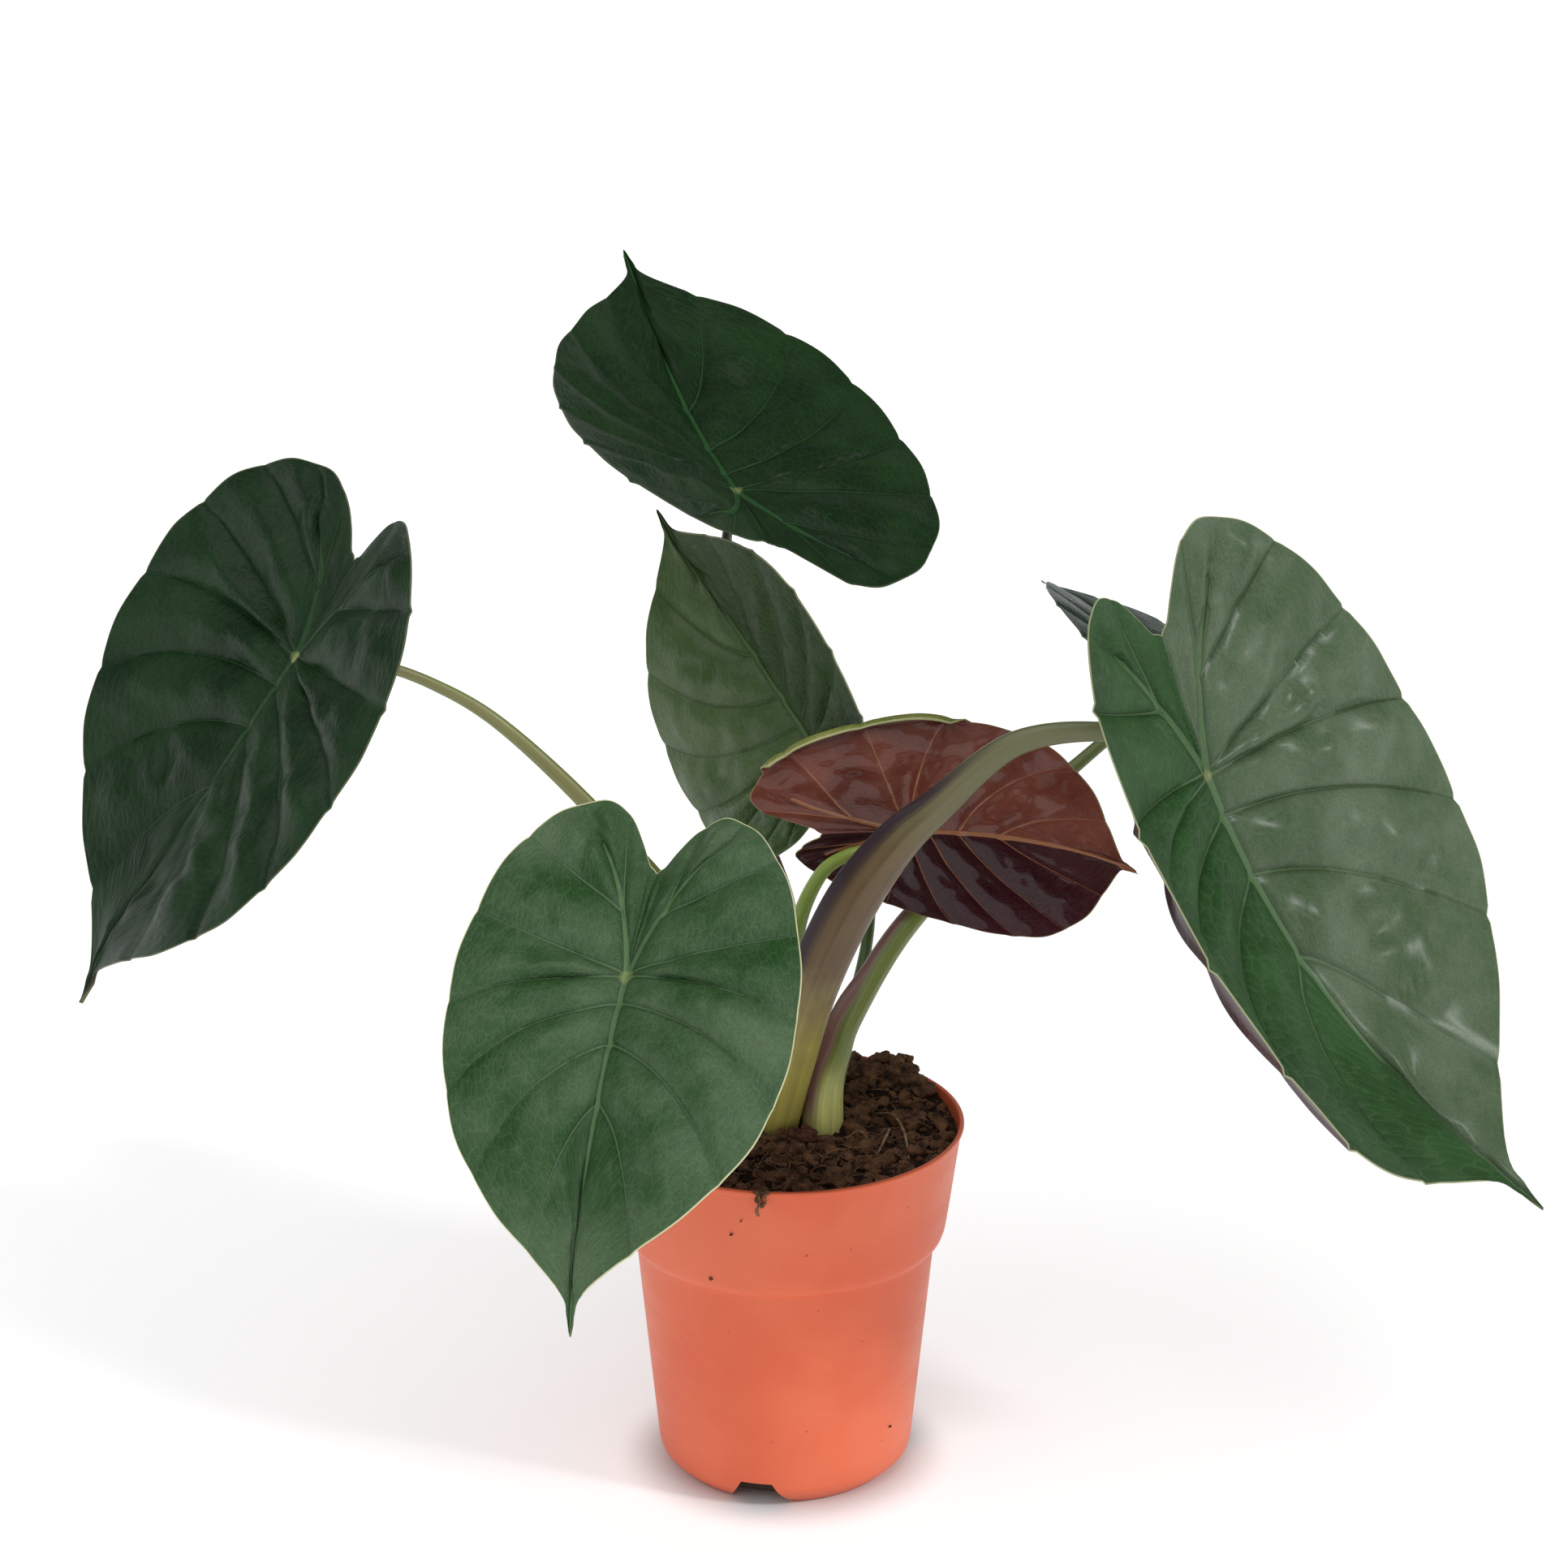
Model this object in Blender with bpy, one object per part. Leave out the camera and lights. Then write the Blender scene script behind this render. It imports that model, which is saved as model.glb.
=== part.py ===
"""Potted alocasia: seven heart-shaped blades on long petioles, rooted in a round nursery pot.

Metres, +Z up. The origin is the middle of the pot's flat underside, +X is the plant's
right and -Y its front. Every height on the plant is measured up from the soil's crown.
"""

import math

import bpy
from mathutils import Matrix, Vector

# Pot: turned shell with a tall collar, a bevelled foot and drain notches.
POT_HEIGHT = 0.1764
RIM_RADIUS = 0.085
POT_WALL = 0.0015
LIP_HEIGHT = 0.003
LIP_OVERHANG = 0.0008
COLLAR_DEPTH = 0.052
COLLAR_RADIUS = 0.0770
CREASE_DEPTH = 0.060
CREASE_RADIUS = 0.0715
BEVEL_RADIUS = 0.0611
BEVEL_HEIGHT = 0.011
FOOT_RADIUS = 0.0524
FOOT_WIDTH = 0.004
PAD_RADIUS = 0.022
BASE_RISE = 0.0045
POT_SIDES = 48
NOTCH_COUNT = 3
NOTCH_FIRST = math.radians(-103)
NOTCH_TOP_WIDTH = 0.015
NOTCH_FOOT_WIDTH = 0.032
NOTCH_HEIGHT = 0.0135

# Soil and what lies on it.
CLEARANCE = 0.0003
SOIL_BELOW_RIM = 0.0024
CROWN_RADIUS = 0.038
EDGE_DROP = 0.003
MOUND_AT = (0.053, 0.047)
MOUND_RISE = 0.011
MOUND_SPREAD = 0.021
SOIL_RINGS = 7
LUMP_AT = (0.008, -0.022)
LUMP_RADIUS = 0.0052
LUMP_SEAT = 0.62
ROOT_RADIUS = 0.0011

# Blades.
LEAF_THICKNESS = 0.0010
ROWS_PER_VEIN = 2
COLUMNS = 4
PETIOLE_SIDES = 10
PETIOLE_STEPS = 4
HUB_STUB = 0.010
HUB_GAP = 0.0006

SOIL_LEVEL = POT_HEIGHT - SOIL_BELOW_RIM

# Half outline of a blade, in shares of its length: (sideways, forwards of the hub).
OUTLINE = (
    (0.000, 1.000), (0.010, 0.945), (0.028, 0.892), (0.130, 0.800), (0.260, 0.680),
    (0.370, 0.540), (0.440, 0.380), (0.475, 0.200), (0.480, 0.030), (0.460, -0.130),
    (0.400, -0.310), (0.300, -0.435), (0.200, -0.485), (0.120, -0.460), (0.060, -0.385),
    (0.022, -0.330), (0.000, -0.315),
)

# Lobe rib: a curve from the hub back into the rear lobe.
RIB_BEND = (0.050, -0.220)
RIB_END = (0.165, -0.360)

# Veins from the tip round to the notch between the lobes: where each leaves the midrib
# (1 = tip, 0 = hub, down to -1 = end of the lobe rib) and the outline point it runs to.
VEINS = (
    (1.00, 0.0), (0.72, 2.7), (0.50, 3.5), (0.31, 4.4), (0.14, 5.8), (0.05, 7.1),
    (0.00, 8.4), (-0.03, 9.7), (-0.45, 10.6), (-1.00, 11.5), (-0.45, 12.7), (-0.03, 14.6),
    (0.00, 16.0),
)
FIRST_HUB_VEIN = 6

# Each blade: hub (x, y, height above the soil), compass heading and droop of its midrib,
# roll about it (degrees), length, then pairs for its right and left halves (seen from
# above, tip forwards): width, taper, lobe length, fold up from flat, curl down to the
# margin. bend is the midrib's droop to the tip and to the lobes.
LEAVES = {
    "left": dict(
        hub=(-0.225, 0.002, 0.232), heading=-175, droop=55, roll=-25, length=0.200,
        width=(1.13, 1.02), taper=(0.06, 0.12), lobes=(0.80, 0.94), bend=(5, -24),
        fold=(6, 17), curl=(-17, 29), twist=-2,
    ),
    "top": dict(
        hub=(-0.024, 0.140, 0.272), heading=112, droop=-15, roll=8, length=0.189,
        width=(1.06, 1.02), taper=(-0.04, -0.32), lobes=(1.01, 0.68), bend=(-23, 12),
        fold=(16, 23), curl=(12, 6), twist=8,
    ),
    "rear": dict(
        hub=(0.013, 0.090, 0.159), heading=136, droop=-43, roll=-82, length=0.142,
        width=(1.02, 1.30), taper=(0.41, -0.10), lobes=(0.81, 0.46), bend=(-3, 2),
        fold=(26, 14), curl=(2, 28), twist=-2,
    ),
    "young": dict(
        hub=(0.058, 0.019, 0.1405), heading=-9, droop=-4, roll=-82, length=0.121,
        width=(0.91, 0.98), taper=(0.09, 0.61), lobes=(1.25, 0.93), bend=(41, 13),
        fold=(34, 14), curl=(6, 16), twist=3,
    ),
    "front": dict(
        hub=(-0.070, -0.129, 0.127), heading=-107, droop=39, roll=11, length=0.163,
        width=(0.98, 1.19), taper=(-0.11, 0.26), lobes=(1.11, 1.02), bend=(25, 11),
        fold=(16, 18), curl=(7, 31), twist=-4,
    ),
    "rear_right": dict(
        hub=(0.189, 0.081, 0.189), heading=116, droop=-20, roll=24, length=0.124,
        width=(1.00, 1.01), taper=(0.00, 0.00), lobes=(1.00, 1.00), bend=(20, 9),
        fold=(10, 12), curl=(9, 10), twist=0,
    ),
    "right": dict(
        hub=(0.193, -0.028, 0.185), heading=-1, droop=69, roll=24, length=0.262,
        width=(1.25, 1.12), taper=(0.32, 0.42), lobes=(0.86, 0.88), bend=(-39, -14),
        fold=(-8, 23), curl=(-38, 2), twist=9,
    ),
}

# Each petiole from its seat on the soil: (x, y, height above the soil, radius).
# The last point before the hub is followed by a short stub square to the blade.
PETIOLES = {
    "left": (
        (-0.017, 0.023, 0.000, 0.0080), (-0.026, 0.026, 0.045, 0.0062),
        (-0.045, 0.028, 0.090, 0.0050), (-0.089, 0.028, 0.146, 0.0041),
        (-0.132, 0.024, 0.191, 0.0033), (-0.164, 0.020, 0.213, 0.0028),
        (-0.192, 0.013, 0.225, 0.0026),
    ),
    "top": (
        (0.002, 0.027, 0.000, 0.0078), (0.003, 0.052, 0.030, 0.0058),
        (0.001, 0.092, 0.072, 0.0046), (-0.009, 0.116, 0.097, 0.0042),
        (-0.020, 0.133, 0.133, 0.0037), (-0.027, 0.147, 0.192, 0.0030),
        (-0.029, 0.151, 0.234, 0.0027),
    ),
    "rear": (
        (0.019, 0.021, 0.000, 0.0064), (0.028, 0.030, 0.027, 0.0045),
        (0.038, 0.050, 0.064, 0.0030), (0.041, 0.071, 0.085, 0.0028),
        (0.039, 0.094, 0.111, 0.0026), (0.029, 0.106, 0.139, 0.0025),
    ),
    "young": (
        (0.004, 0.011, 0.000, 0.0050), (0.004, 0.012, 0.030, 0.0046),
        (0.004, 0.014, 0.062, 0.0044), (0.006, 0.016, 0.094, 0.0040),
        (0.016, 0.013, 0.120, 0.0034), (0.028, 0.008, 0.132, 0.0030),
        (0.043, 0.005, 0.137, 0.0028),
    ),
    "front": (
        (-0.028, 0.003, 0.000, 0.0084), (-0.036, -0.012, 0.042, 0.0058),
        (-0.046, -0.040, 0.078, 0.0045), (-0.057, -0.082, 0.104, 0.0034),
        (-0.063, -0.110, 0.112, 0.0028),
    ),
    "rear_right": (
        (0.0175, -0.004, 0.000, 0.0102), (0.019, -0.002, 0.020, 0.0088),
        (0.024, 0.003, 0.035, 0.0072), (0.031, 0.011, 0.051, 0.0066),
        (0.055, 0.036, 0.083, 0.0059), (0.091, 0.063, 0.113, 0.0046),
        (0.138, 0.080, 0.150, 0.0034), (0.163, 0.084, 0.170, 0.0029),
    ),
    "right": (
        (-0.0065, -0.004, 0.000, 0.0114), (0.002, -0.009, 0.034, 0.0118),
        (0.011, -0.013, 0.069, 0.0120), (0.022, -0.016, 0.099, 0.0122),
        (0.035, -0.019, 0.126, 0.0120), (0.051, -0.023, 0.150, 0.0104),
        (0.068, -0.026, 0.168, 0.0086), (0.104, -0.031, 0.201, 0.0062),
        (0.145, -0.034, 0.208, 0.0047), (0.168, -0.032, 0.199, 0.0040),
    ),
}
HUB_RADIUS = 0.0024
FLATTENED = {"right": 0.70, "rear_right": 0.85}

# Surface roots, as (x, y, height above the soil's surface).
ROOTS = {
    "root_loop_right": (
        (0.043, 0.012, 0.0), (0.051, -0.002, 0.004), (0.056, -0.018, 0.003), (0.058, -0.036, 0.0),
    ),
    "root_loop_middle": (
        (0.043, -0.034, 0.0), (0.047, -0.026, 0.003), (0.049, -0.017, 0.003), (0.048, -0.009, 0.0),
    ),
    "root_front": (
        (0.029, -0.017, 0.0), (0.035, -0.018, 0.002), (0.040, -0.021, 0.0),
    ),
}


def clear_scene():
    for obj in list(bpy.data.objects):
        bpy.data.objects.remove(obj)


def material(name, colour, roughness):
    made = bpy.data.materials.new(name)
    made.use_nodes = True
    shader = made.node_tree.nodes["Principled BSDF"]
    shader.inputs["Base Color"].default_value = (*colour, 1)
    shader.inputs["Roughness"].default_value = roughness
    shader.inputs["Metallic"].default_value = 0
    return made


def new_object(name, points, faces, look):
    mesh = bpy.data.meshes.new(name)
    mesh.from_pydata([tuple(point) for point in points], [], faces)
    mesh.materials.append(look)
    mesh.shade_smooth()
    mesh.set_sharp_from_angle(angle=math.radians(35))
    made = bpy.data.objects.new(name, mesh)
    bpy.context.scene.collection.objects.link(made)
    return made


def through(points, share):
    """Point at share (0 to 1 along the list) of the smooth curve through the points."""
    last = len(points) - 1
    place = min(max(share, 0.0), 1.0) * last
    start = min(int(place), last - 1)
    step = place - start
    a, b = Vector(points[start]), Vector(points[start + 1])
    before = Vector(points[start - 1]) if start else 2 * a - b
    after = Vector(points[start + 2]) if start + 2 <= last else 2 * b - a
    slope_a = (b - before) / 2
    slope_b = (after - a) / 2
    return (
        a * (1 - 3 * step**2 + 2 * step**3)
        + b * (3 * step**2 - 2 * step**3)
        + slope_a * (step - 2 * step**2 + step**3)
        + slope_b * (step**3 - step**2)
    )


def lathe(name, profile, sides, look):
    """Turned solid from a profile that starts and ends on the axis, outer side first."""
    points = []
    rings = []
    for radius, height in profile:
        count = sides if radius > 0 else 1
        rings.append([len(points) + turn for turn in range(count)])
        for turn in range(count):
            angle = 2 * math.pi * turn / sides
            points.append((radius * math.cos(angle), radius * math.sin(angle), height))
    faces = []
    for low, high in zip(rings, rings[1:]):
        for turn in range(sides):
            after = (turn + 1) % sides
            corners = [low[turn % len(low)], low[after % len(low)]]
            corners += [high[after % len(high)], high[turn % len(high)]]
            faces.append(list(dict.fromkeys(corners)))
    return new_object(name, points, faces, look)


# ---------------------------------------------------------------- pot and soil


def pot_outside(height):
    """Outer radius of the pot's wall at a height."""
    corners = (
        (BEVEL_HEIGHT, BEVEL_RADIUS),
        (POT_HEIGHT - CREASE_DEPTH, CREASE_RADIUS),
        (POT_HEIGHT - COLLAR_DEPTH, COLLAR_RADIUS),
        (POT_HEIGHT, RIM_RADIUS - LIP_OVERHANG),
    )
    for (low, narrow), (high, wide) in zip(corners, corners[1:]):
        if height <= high:
            return narrow + (wide - narrow) * (height - low) / (high - low)
    return corners[-1][1]


def notch_cutter(turn, look):
    """Wedge through the foot: narrow at the top, wide at the ground."""
    near = PAD_RADIUS + 0.016
    far = BEVEL_RADIUS + 0.010
    points = []
    for reach in (near, far):
        for half, height in ((NOTCH_FOOT_WIDTH / 2, -0.002), (NOTCH_TOP_WIDTH / 2, NOTCH_HEIGHT)):
            points += [(reach, -half, height), (reach, half, height)]
    faces = [(0, 2, 3, 1), (4, 5, 7, 6), (0, 1, 5, 4), (2, 6, 7, 3), (0, 4, 6, 2), (1, 3, 7, 5)]
    made = new_object(f"notch_cutter_{turn}", points, faces, look)
    made.rotation_euler.z = NOTCH_FIRST + 2 * math.pi * turn / NOTCH_COUNT
    made.hide_render = True
    made.display_type = "WIRE"
    return made


def make_pot(look):
    floor = BASE_RISE + POT_WALL
    collar = POT_HEIGHT - COLLAR_DEPTH
    crease = POT_HEIGHT - CREASE_DEPTH
    foot_inside = FOOT_RADIUS - FOOT_WIDTH
    lip = POT_HEIGHT - LIP_HEIGHT
    profile = [
        (0, 0),
        (PAD_RADIUS, 0),
        (PAD_RADIUS + 0.002, BASE_RISE),
        (foot_inside - 0.001, BASE_RISE),
        (foot_inside, 0),
        (FOOT_RADIUS, 0),
        (BEVEL_RADIUS, BEVEL_HEIGHT),
        (CREASE_RADIUS, crease),
        (CREASE_RADIUS + 0.6 * (COLLAR_RADIUS - CREASE_RADIUS), crease + 0.002),
        (COLLAR_RADIUS, collar),
        (pot_outside(lip), lip),
        (RIM_RADIUS, lip + LIP_OVERHANG),
        (RIM_RADIUS, POT_HEIGHT),
        (pot_outside(POT_HEIGHT) - POT_WALL, POT_HEIGHT),
        (COLLAR_RADIUS - POT_WALL, collar),
        (CREASE_RADIUS - POT_WALL, crease),
        (BEVEL_RADIUS - POT_WALL, BEVEL_HEIGHT),
        (FOOT_RADIUS + 0.003, floor),
        (0, floor),
    ]
    pot = lathe("nursery_pot", profile, POT_SIDES, look)
    for turn in range(NOTCH_COUNT):
        cut = pot.modifiers.new(f"drain_notch_{turn}", "BOOLEAN")
        cut.operation = "DIFFERENCE"
        cut.solver = "EXACT"
        cut.object = notch_cutter(turn, look)
    return pot


def soil_height(x, y):
    """Top of the soil: a flat crown, a fall to the rim and a mound behind on the right."""
    radius = math.hypot(x, y)
    edge = pot_outside(SOIL_LEVEL) - POT_WALL - CLEARANCE
    outward = min(max((radius - CROWN_RADIUS) / (edge - CROWN_RADIUS), 0.0), 1.0)
    ease = outward * outward * (3 - 2 * outward)
    away = math.hypot(x - MOUND_AT[0], y - MOUND_AT[1]) / MOUND_SPREAD
    mound = MOUND_RISE * math.exp(-away * away) * min(1.0, 4 * ease)
    return SOIL_LEVEL - EDGE_DROP * ease + mound


def make_soil(look):
    """Closed plug that fills the pot up to its uneven top."""
    floor = BASE_RISE + POT_WALL + CLEARANCE
    levels = (
        (FOOT_RADIUS + 0.003 - CLEARANCE, floor),
        (pot_outside(BEVEL_HEIGHT) - POT_WALL - CLEARANCE, BEVEL_HEIGHT + CLEARANCE),
        (pot_outside(POT_HEIGHT - CREASE_DEPTH) - POT_WALL - CLEARANCE, POT_HEIGHT - CREASE_DEPTH),
        (pot_outside(POT_HEIGHT - COLLAR_DEPTH) - POT_WALL - CLEARANCE, POT_HEIGHT - COLLAR_DEPTH),
    )
    edge = pot_outside(SOIL_LEVEL - EDGE_DROP) - POT_WALL - 2 * CLEARANCE
    points = [Vector((0, 0, floor))]
    turns = [2 * math.pi * turn / POT_SIDES for turn in range(POT_SIDES)]
    for radius, height in levels:
        points += [Vector((radius * math.cos(a), radius * math.sin(a), height)) for a in turns]
    for ring in range(SOIL_RINGS, 0, -1):
        radius = edge * ring / SOIL_RINGS
        for a in turns:
            x, y = radius * math.cos(a), radius * math.sin(a)
            points.append(Vector((x, y, soil_height(x, y))))
    points.append(Vector((0, 0, SOIL_LEVEL)))
    faces = []
    rings = len(levels) + SOIL_RINGS
    last = len(points) - 1
    for turn in range(POT_SIDES):
        after = (turn + 1) % POT_SIDES
        faces.append((0, 1 + after, 1 + turn))
        for ring in range(rings - 1):
            low = 1 + ring * POT_SIDES
            high = low + POT_SIDES
            faces.append((low + turn, low + after, high + after, high + turn))
        top = 1 + (rings - 1) * POT_SIDES
        faces.append((top + turn, top + after, last))
    return new_object("potting_soil", points, faces, look)


def make_lump(look):
    """Clod of peat in front of the stems, flattened where it sits."""
    x, y = LUMP_AT
    centre = Vector((x, y, soil_height(x, y) + CLEARANCE + LUMP_SEAT * LUMP_RADIUS))
    profile = []
    for step in range(9):
        angle = -math.pi / 2 + math.pi * step / 8
        height = max(math.sin(angle), -LUMP_SEAT) * LUMP_RADIUS
        profile.append((LUMP_RADIUS * 1.2 * max(math.cos(angle), 0.0), height))
    profile[0] = (0, profile[0][1])
    profile[-1] = (0, profile[-1][1])
    lump = lathe("peat_lump", profile, 14, look)
    lump.location = centre
    return lump


# ---------------------------------------------------------------- stems and roots


def tube(name, route, look, sides, steps, flattened=1.0):
    """Swept tube through (x, y, z, radius) points. flattened is its depth over its width."""
    count = (len(route) - 1) * steps
    stations = [through(route, step / count) for step in range(count + 1)]
    points = []
    wide = Vector((-1, 0, 0))
    for index, station in enumerate(stations):
        ahead = stations[min(index + 1, count)].xyz - stations[max(index - 1, 0)].xyz
        ahead = ahead.normalized() if index else Vector((0, 0, 1))
        wide = (wide - ahead * wide.dot(ahead)).normalized()
        deep = ahead.cross(wide)
        for turn in range(sides):
            angle = 2 * math.pi * turn / sides
            across = wide * math.cos(angle) + deep * math.sin(angle) * flattened
            points.append(station.xyz + across * station.w)
    faces = [list(range(sides))[::-1], list(range(count * sides, (count + 1) * sides))]
    for ring in range(count):
        low = ring * sides
        for turn in range(sides):
            after = (turn + 1) % sides
            faces.append((low + turn, low + after, low + sides + after, low + sides + turn))
    return new_object(name, points, faces, look)


def make_petiole(name, look):
    leaf = LEAVES[name]
    frame = leaf_frame(leaf)
    underside = frame.translation - frame.col[2].xyz * (LEAF_THICKNESS / 2 + HUB_GAP)
    stub = underside - frame.col[2].xyz * HUB_STUB
    fall = max(0.0, *(-math.radians(fold) for fold in leaf["fold"]))
    underside -= frame.col[2].xyz * HUB_RADIUS * math.tan(fall)
    route = [(x, y, SOIL_LEVEL + CLEARANCE + h, r) for x, y, h, r in PETIOLES[name]]
    route.append((*stub, HUB_RADIUS))
    route.append((*underside, HUB_RADIUS))
    flattened = FLATTENED.get(name, 1.0)
    return tube(f"petiole_{name}", route, look, PETIOLE_SIDES, PETIOLE_STEPS, flattened)


def make_root(name, look):
    lift = ROOT_RADIUS + CLEARANCE
    route = [(x, y, soil_height(x, y) + lift + h, ROOT_RADIUS) for x, y, h in ROOTS[name]]
    return tube(name, route, look, 6, 4)


# ---------------------------------------------------------------- blades


def leaf_frame(leaf):
    """Columns: right, forwards along the midrib, up off the blade, and the hub."""
    heading, droop, roll = (math.radians(leaf[key]) for key in ("heading", "droop", "roll"))
    forward = Vector((
        math.cos(droop) * math.cos(heading),
        math.cos(droop) * math.sin(heading),
        -math.sin(droop),
    ))
    level = Vector((0, 0, 1)) - forward * forward.z
    up = (Matrix.Rotation(roll, 3, forward) @ level).normalized()
    x, y, height = leaf["hub"]
    frame = Matrix((forward.cross(up), forward, up)).transposed().to_4x4()
    frame.translation = Vector((x, y, SOIL_LEVEL + height))
    return frame


def on_midrib(place):
    """Flat point of the midrib (place 1 to 0) or of the lobe rib (place 0 to -1)."""
    if place >= 0:
        return Vector((0, place))
    share = -place
    return Vector(RIB_BEND) * 2 * share * (1 - share) + Vector(RIB_END) * share * share


def flat_point(row, share):
    """Flat point of half a blade: row counts veins round from the tip, share runs outwards."""
    vein = min(int(row), len(VEINS) - 2)
    step = row - vein
    (root_a, edge_a), (root_b, edge_b) = VEINS[vein], VEINS[vein + 1]
    root = on_midrib(root_a + (root_b - root_a) * step)
    edge = through(OUTLINE, (edge_a + (edge_b - edge_a) * step) / (len(OUTLINE) - 1))
    lead = 0.36 + 0.24 * min(max(row - FIRST_HUB_VEIN, 0.0), 1.0)
    bend = Vector((root.x + 0.6 * (edge.x - root.x), root.y + lead * (edge.y - root.y)))
    return root * (1 - share) ** 2 + bend * 2 * share * (1 - share) + edge * share * share


def arc(distance, turn_per_length):
    """Along and across travel of a run that turns steadily."""
    if abs(turn_per_length) < 1e-6:
        return distance, 0.0
    angle = turn_per_length * distance
    return math.sin(angle) / turn_per_length, (1 - math.cos(angle)) / turn_per_length


def blade_point(leaf, frame, side, flat):
    """World point of a flat blade point on the right (side 1) or left (side -1) half."""
    half = 0 if side > 0 else 1
    length = leaf["length"]
    middle = sum(leaf["lobes"]) / 2
    blend = min(flat.x / 0.12, 1.0)
    lobe = middle + (leaf["lobes"][half] - middle) * blend
    out = flat.x * length * leaf["width"][half] * (1 + leaf["taper"][half] * (flat.y - 0.25))
    run = flat.y * length * (lobe if flat.y < 0 else 1.0)
    to_tip, to_lobe = (math.radians(turn) / length for turn in leaf["bend"])
    ahead, drop = arc(max(run, 0.0), to_tip)
    behind, sink = arc(max(-run, 0.0), to_lobe)
    tilt = to_tip * run if run >= 0 else to_lobe * run
    fold = math.radians(leaf["fold"][half])
    curl = math.radians(leaf["curl"][half]) / (0.48 * length)
    across, lift = arc(out, curl)
    across, lift = (
        across * math.cos(fold) + lift * math.sin(fold),
        across * math.sin(fold) - lift * math.cos(fold),
    )
    twist = math.radians(leaf["twist"]) * run / length
    sideways = across * side * math.cos(twist) - lift * math.sin(twist)
    lift = across * side * math.sin(twist) + lift * math.cos(twist)
    return frame @ Vector((
        sideways,
        ahead - behind + lift * math.sin(tilt),
        lift * math.cos(tilt) - drop - sink,
    ))


def make_blade(name, look):
    leaf = LEAVES[name]
    frame = leaf_frame(leaf)
    rows = (len(VEINS) - 1) * ROWS_PER_VEIN
    known = {}
    points = []
    faces = []

    def index(side, row, column):
        flat = flat_point(row / ROWS_PER_VEIN, column / COLUMNS)
        key = (round(side * flat.x, 5), round(flat.y, 5))
        if key not in known:
            known[key] = len(points)
            points.append(blade_point(leaf, frame, side, flat))
        return known[key]

    for side in (1, -1):
        for row in range(rows):
            for column in range(COLUMNS):
                corners = [(row, column), (row + 1, column), (row + 1, column + 1), (row, column + 1)]
                face = list(dict.fromkeys(index(side, *corner) for corner in corners))
                if len(face) > 2:
                    faces.append(face[::side])
    blade = new_object(f"blade_{name}", points, faces, look)
    skin = blade.modifiers.new("thickness", "SOLIDIFY")
    skin.thickness = LEAF_THICKNESS
    skin.offset = 0
    return blade


def main():
    clear_scene()
    terracotta = material("terracotta_plastic", (0.70, 0.16, 0.08), 0.42)
    peat = material("peat", (0.045, 0.028, 0.018), 0.95)
    root_skin = material("root_skin", (0.30, 0.20, 0.13), 0.8)
    green_stem = material("green_stem", (0.20, 0.25, 0.07), 0.45)
    brown_stem = material("brown_stem", (0.13, 0.10, 0.05), 0.45)
    mature_blade = material("mature_blade", (0.03, 0.08, 0.03), 0.35)
    young_blade = material("young_blade", (0.12, 0.02, 0.02), 0.3)

    make_pot(terracotta)
    make_soil(peat)
    make_lump(peat)
    for name in ROOTS:
        make_root(name, root_skin)
    for name in LEAVES:
        make_petiole(name, brown_stem if name in FLATTENED else green_stem)
        make_blade(name, young_blade if name == "young" else mature_blade)


main()
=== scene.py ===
"""Potted alocasia: seven veined blades on sheathed petioles in a terracotta nursery pot.

Metres, +Z up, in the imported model's own frame. Blades and stems start as grids that are
bent into shape, the pot and the soil as rings that are drawn up step by step, and crumbs
and fibres are scattered over the soil.
"""
import math
import random

import bpy
from mathutils import Matrix, Vector, noise


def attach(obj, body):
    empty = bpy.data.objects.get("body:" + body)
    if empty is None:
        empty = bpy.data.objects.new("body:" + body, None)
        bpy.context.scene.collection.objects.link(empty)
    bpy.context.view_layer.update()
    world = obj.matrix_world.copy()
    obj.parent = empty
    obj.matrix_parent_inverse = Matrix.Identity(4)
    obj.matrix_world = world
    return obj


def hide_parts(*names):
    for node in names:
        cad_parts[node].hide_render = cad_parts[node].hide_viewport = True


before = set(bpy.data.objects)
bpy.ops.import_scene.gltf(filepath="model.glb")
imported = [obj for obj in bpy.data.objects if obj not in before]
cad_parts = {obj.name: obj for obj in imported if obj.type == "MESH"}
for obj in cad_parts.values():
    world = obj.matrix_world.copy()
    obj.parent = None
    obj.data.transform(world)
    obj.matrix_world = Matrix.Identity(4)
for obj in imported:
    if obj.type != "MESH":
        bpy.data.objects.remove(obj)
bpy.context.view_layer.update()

# ---------------------------------------------------------------- sizes

POT_HEIGHT = 0.1764
SOIL_LEVEL = 0.1740
CLEARANCE = 0.0003
CROWN_RADIUS = 0.038
EDGE_DROP = 0.003
SOIL_EDGE = 0.0818
MOUND_AT = (0.053, 0.047)
MOUND_RISE = 0.011
MOUND_SPREAD = 0.021

BLADE_THICKNESS = 0.0007
ROWS_PER_VEIN = 15
COLUMNS = 44

# Half outline of a blade, in shares of its length: (sideways, forwards of the hub).
OUTLINE = (
    (0.000, 1.000), (0.010, 0.945), (0.028, 0.892), (0.130, 0.800), (0.260, 0.680),
    (0.370, 0.540), (0.440, 0.380), (0.475, 0.200), (0.480, 0.030), (0.460, -0.130),
    (0.400, -0.310), (0.300, -0.435), (0.200, -0.485), (0.120, -0.460), (0.060, -0.385),
    (0.022, -0.330), (0.000, -0.315),
)
RIB_BEND = (0.050, -0.220)
RIB_END = (0.165, -0.360)

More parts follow.
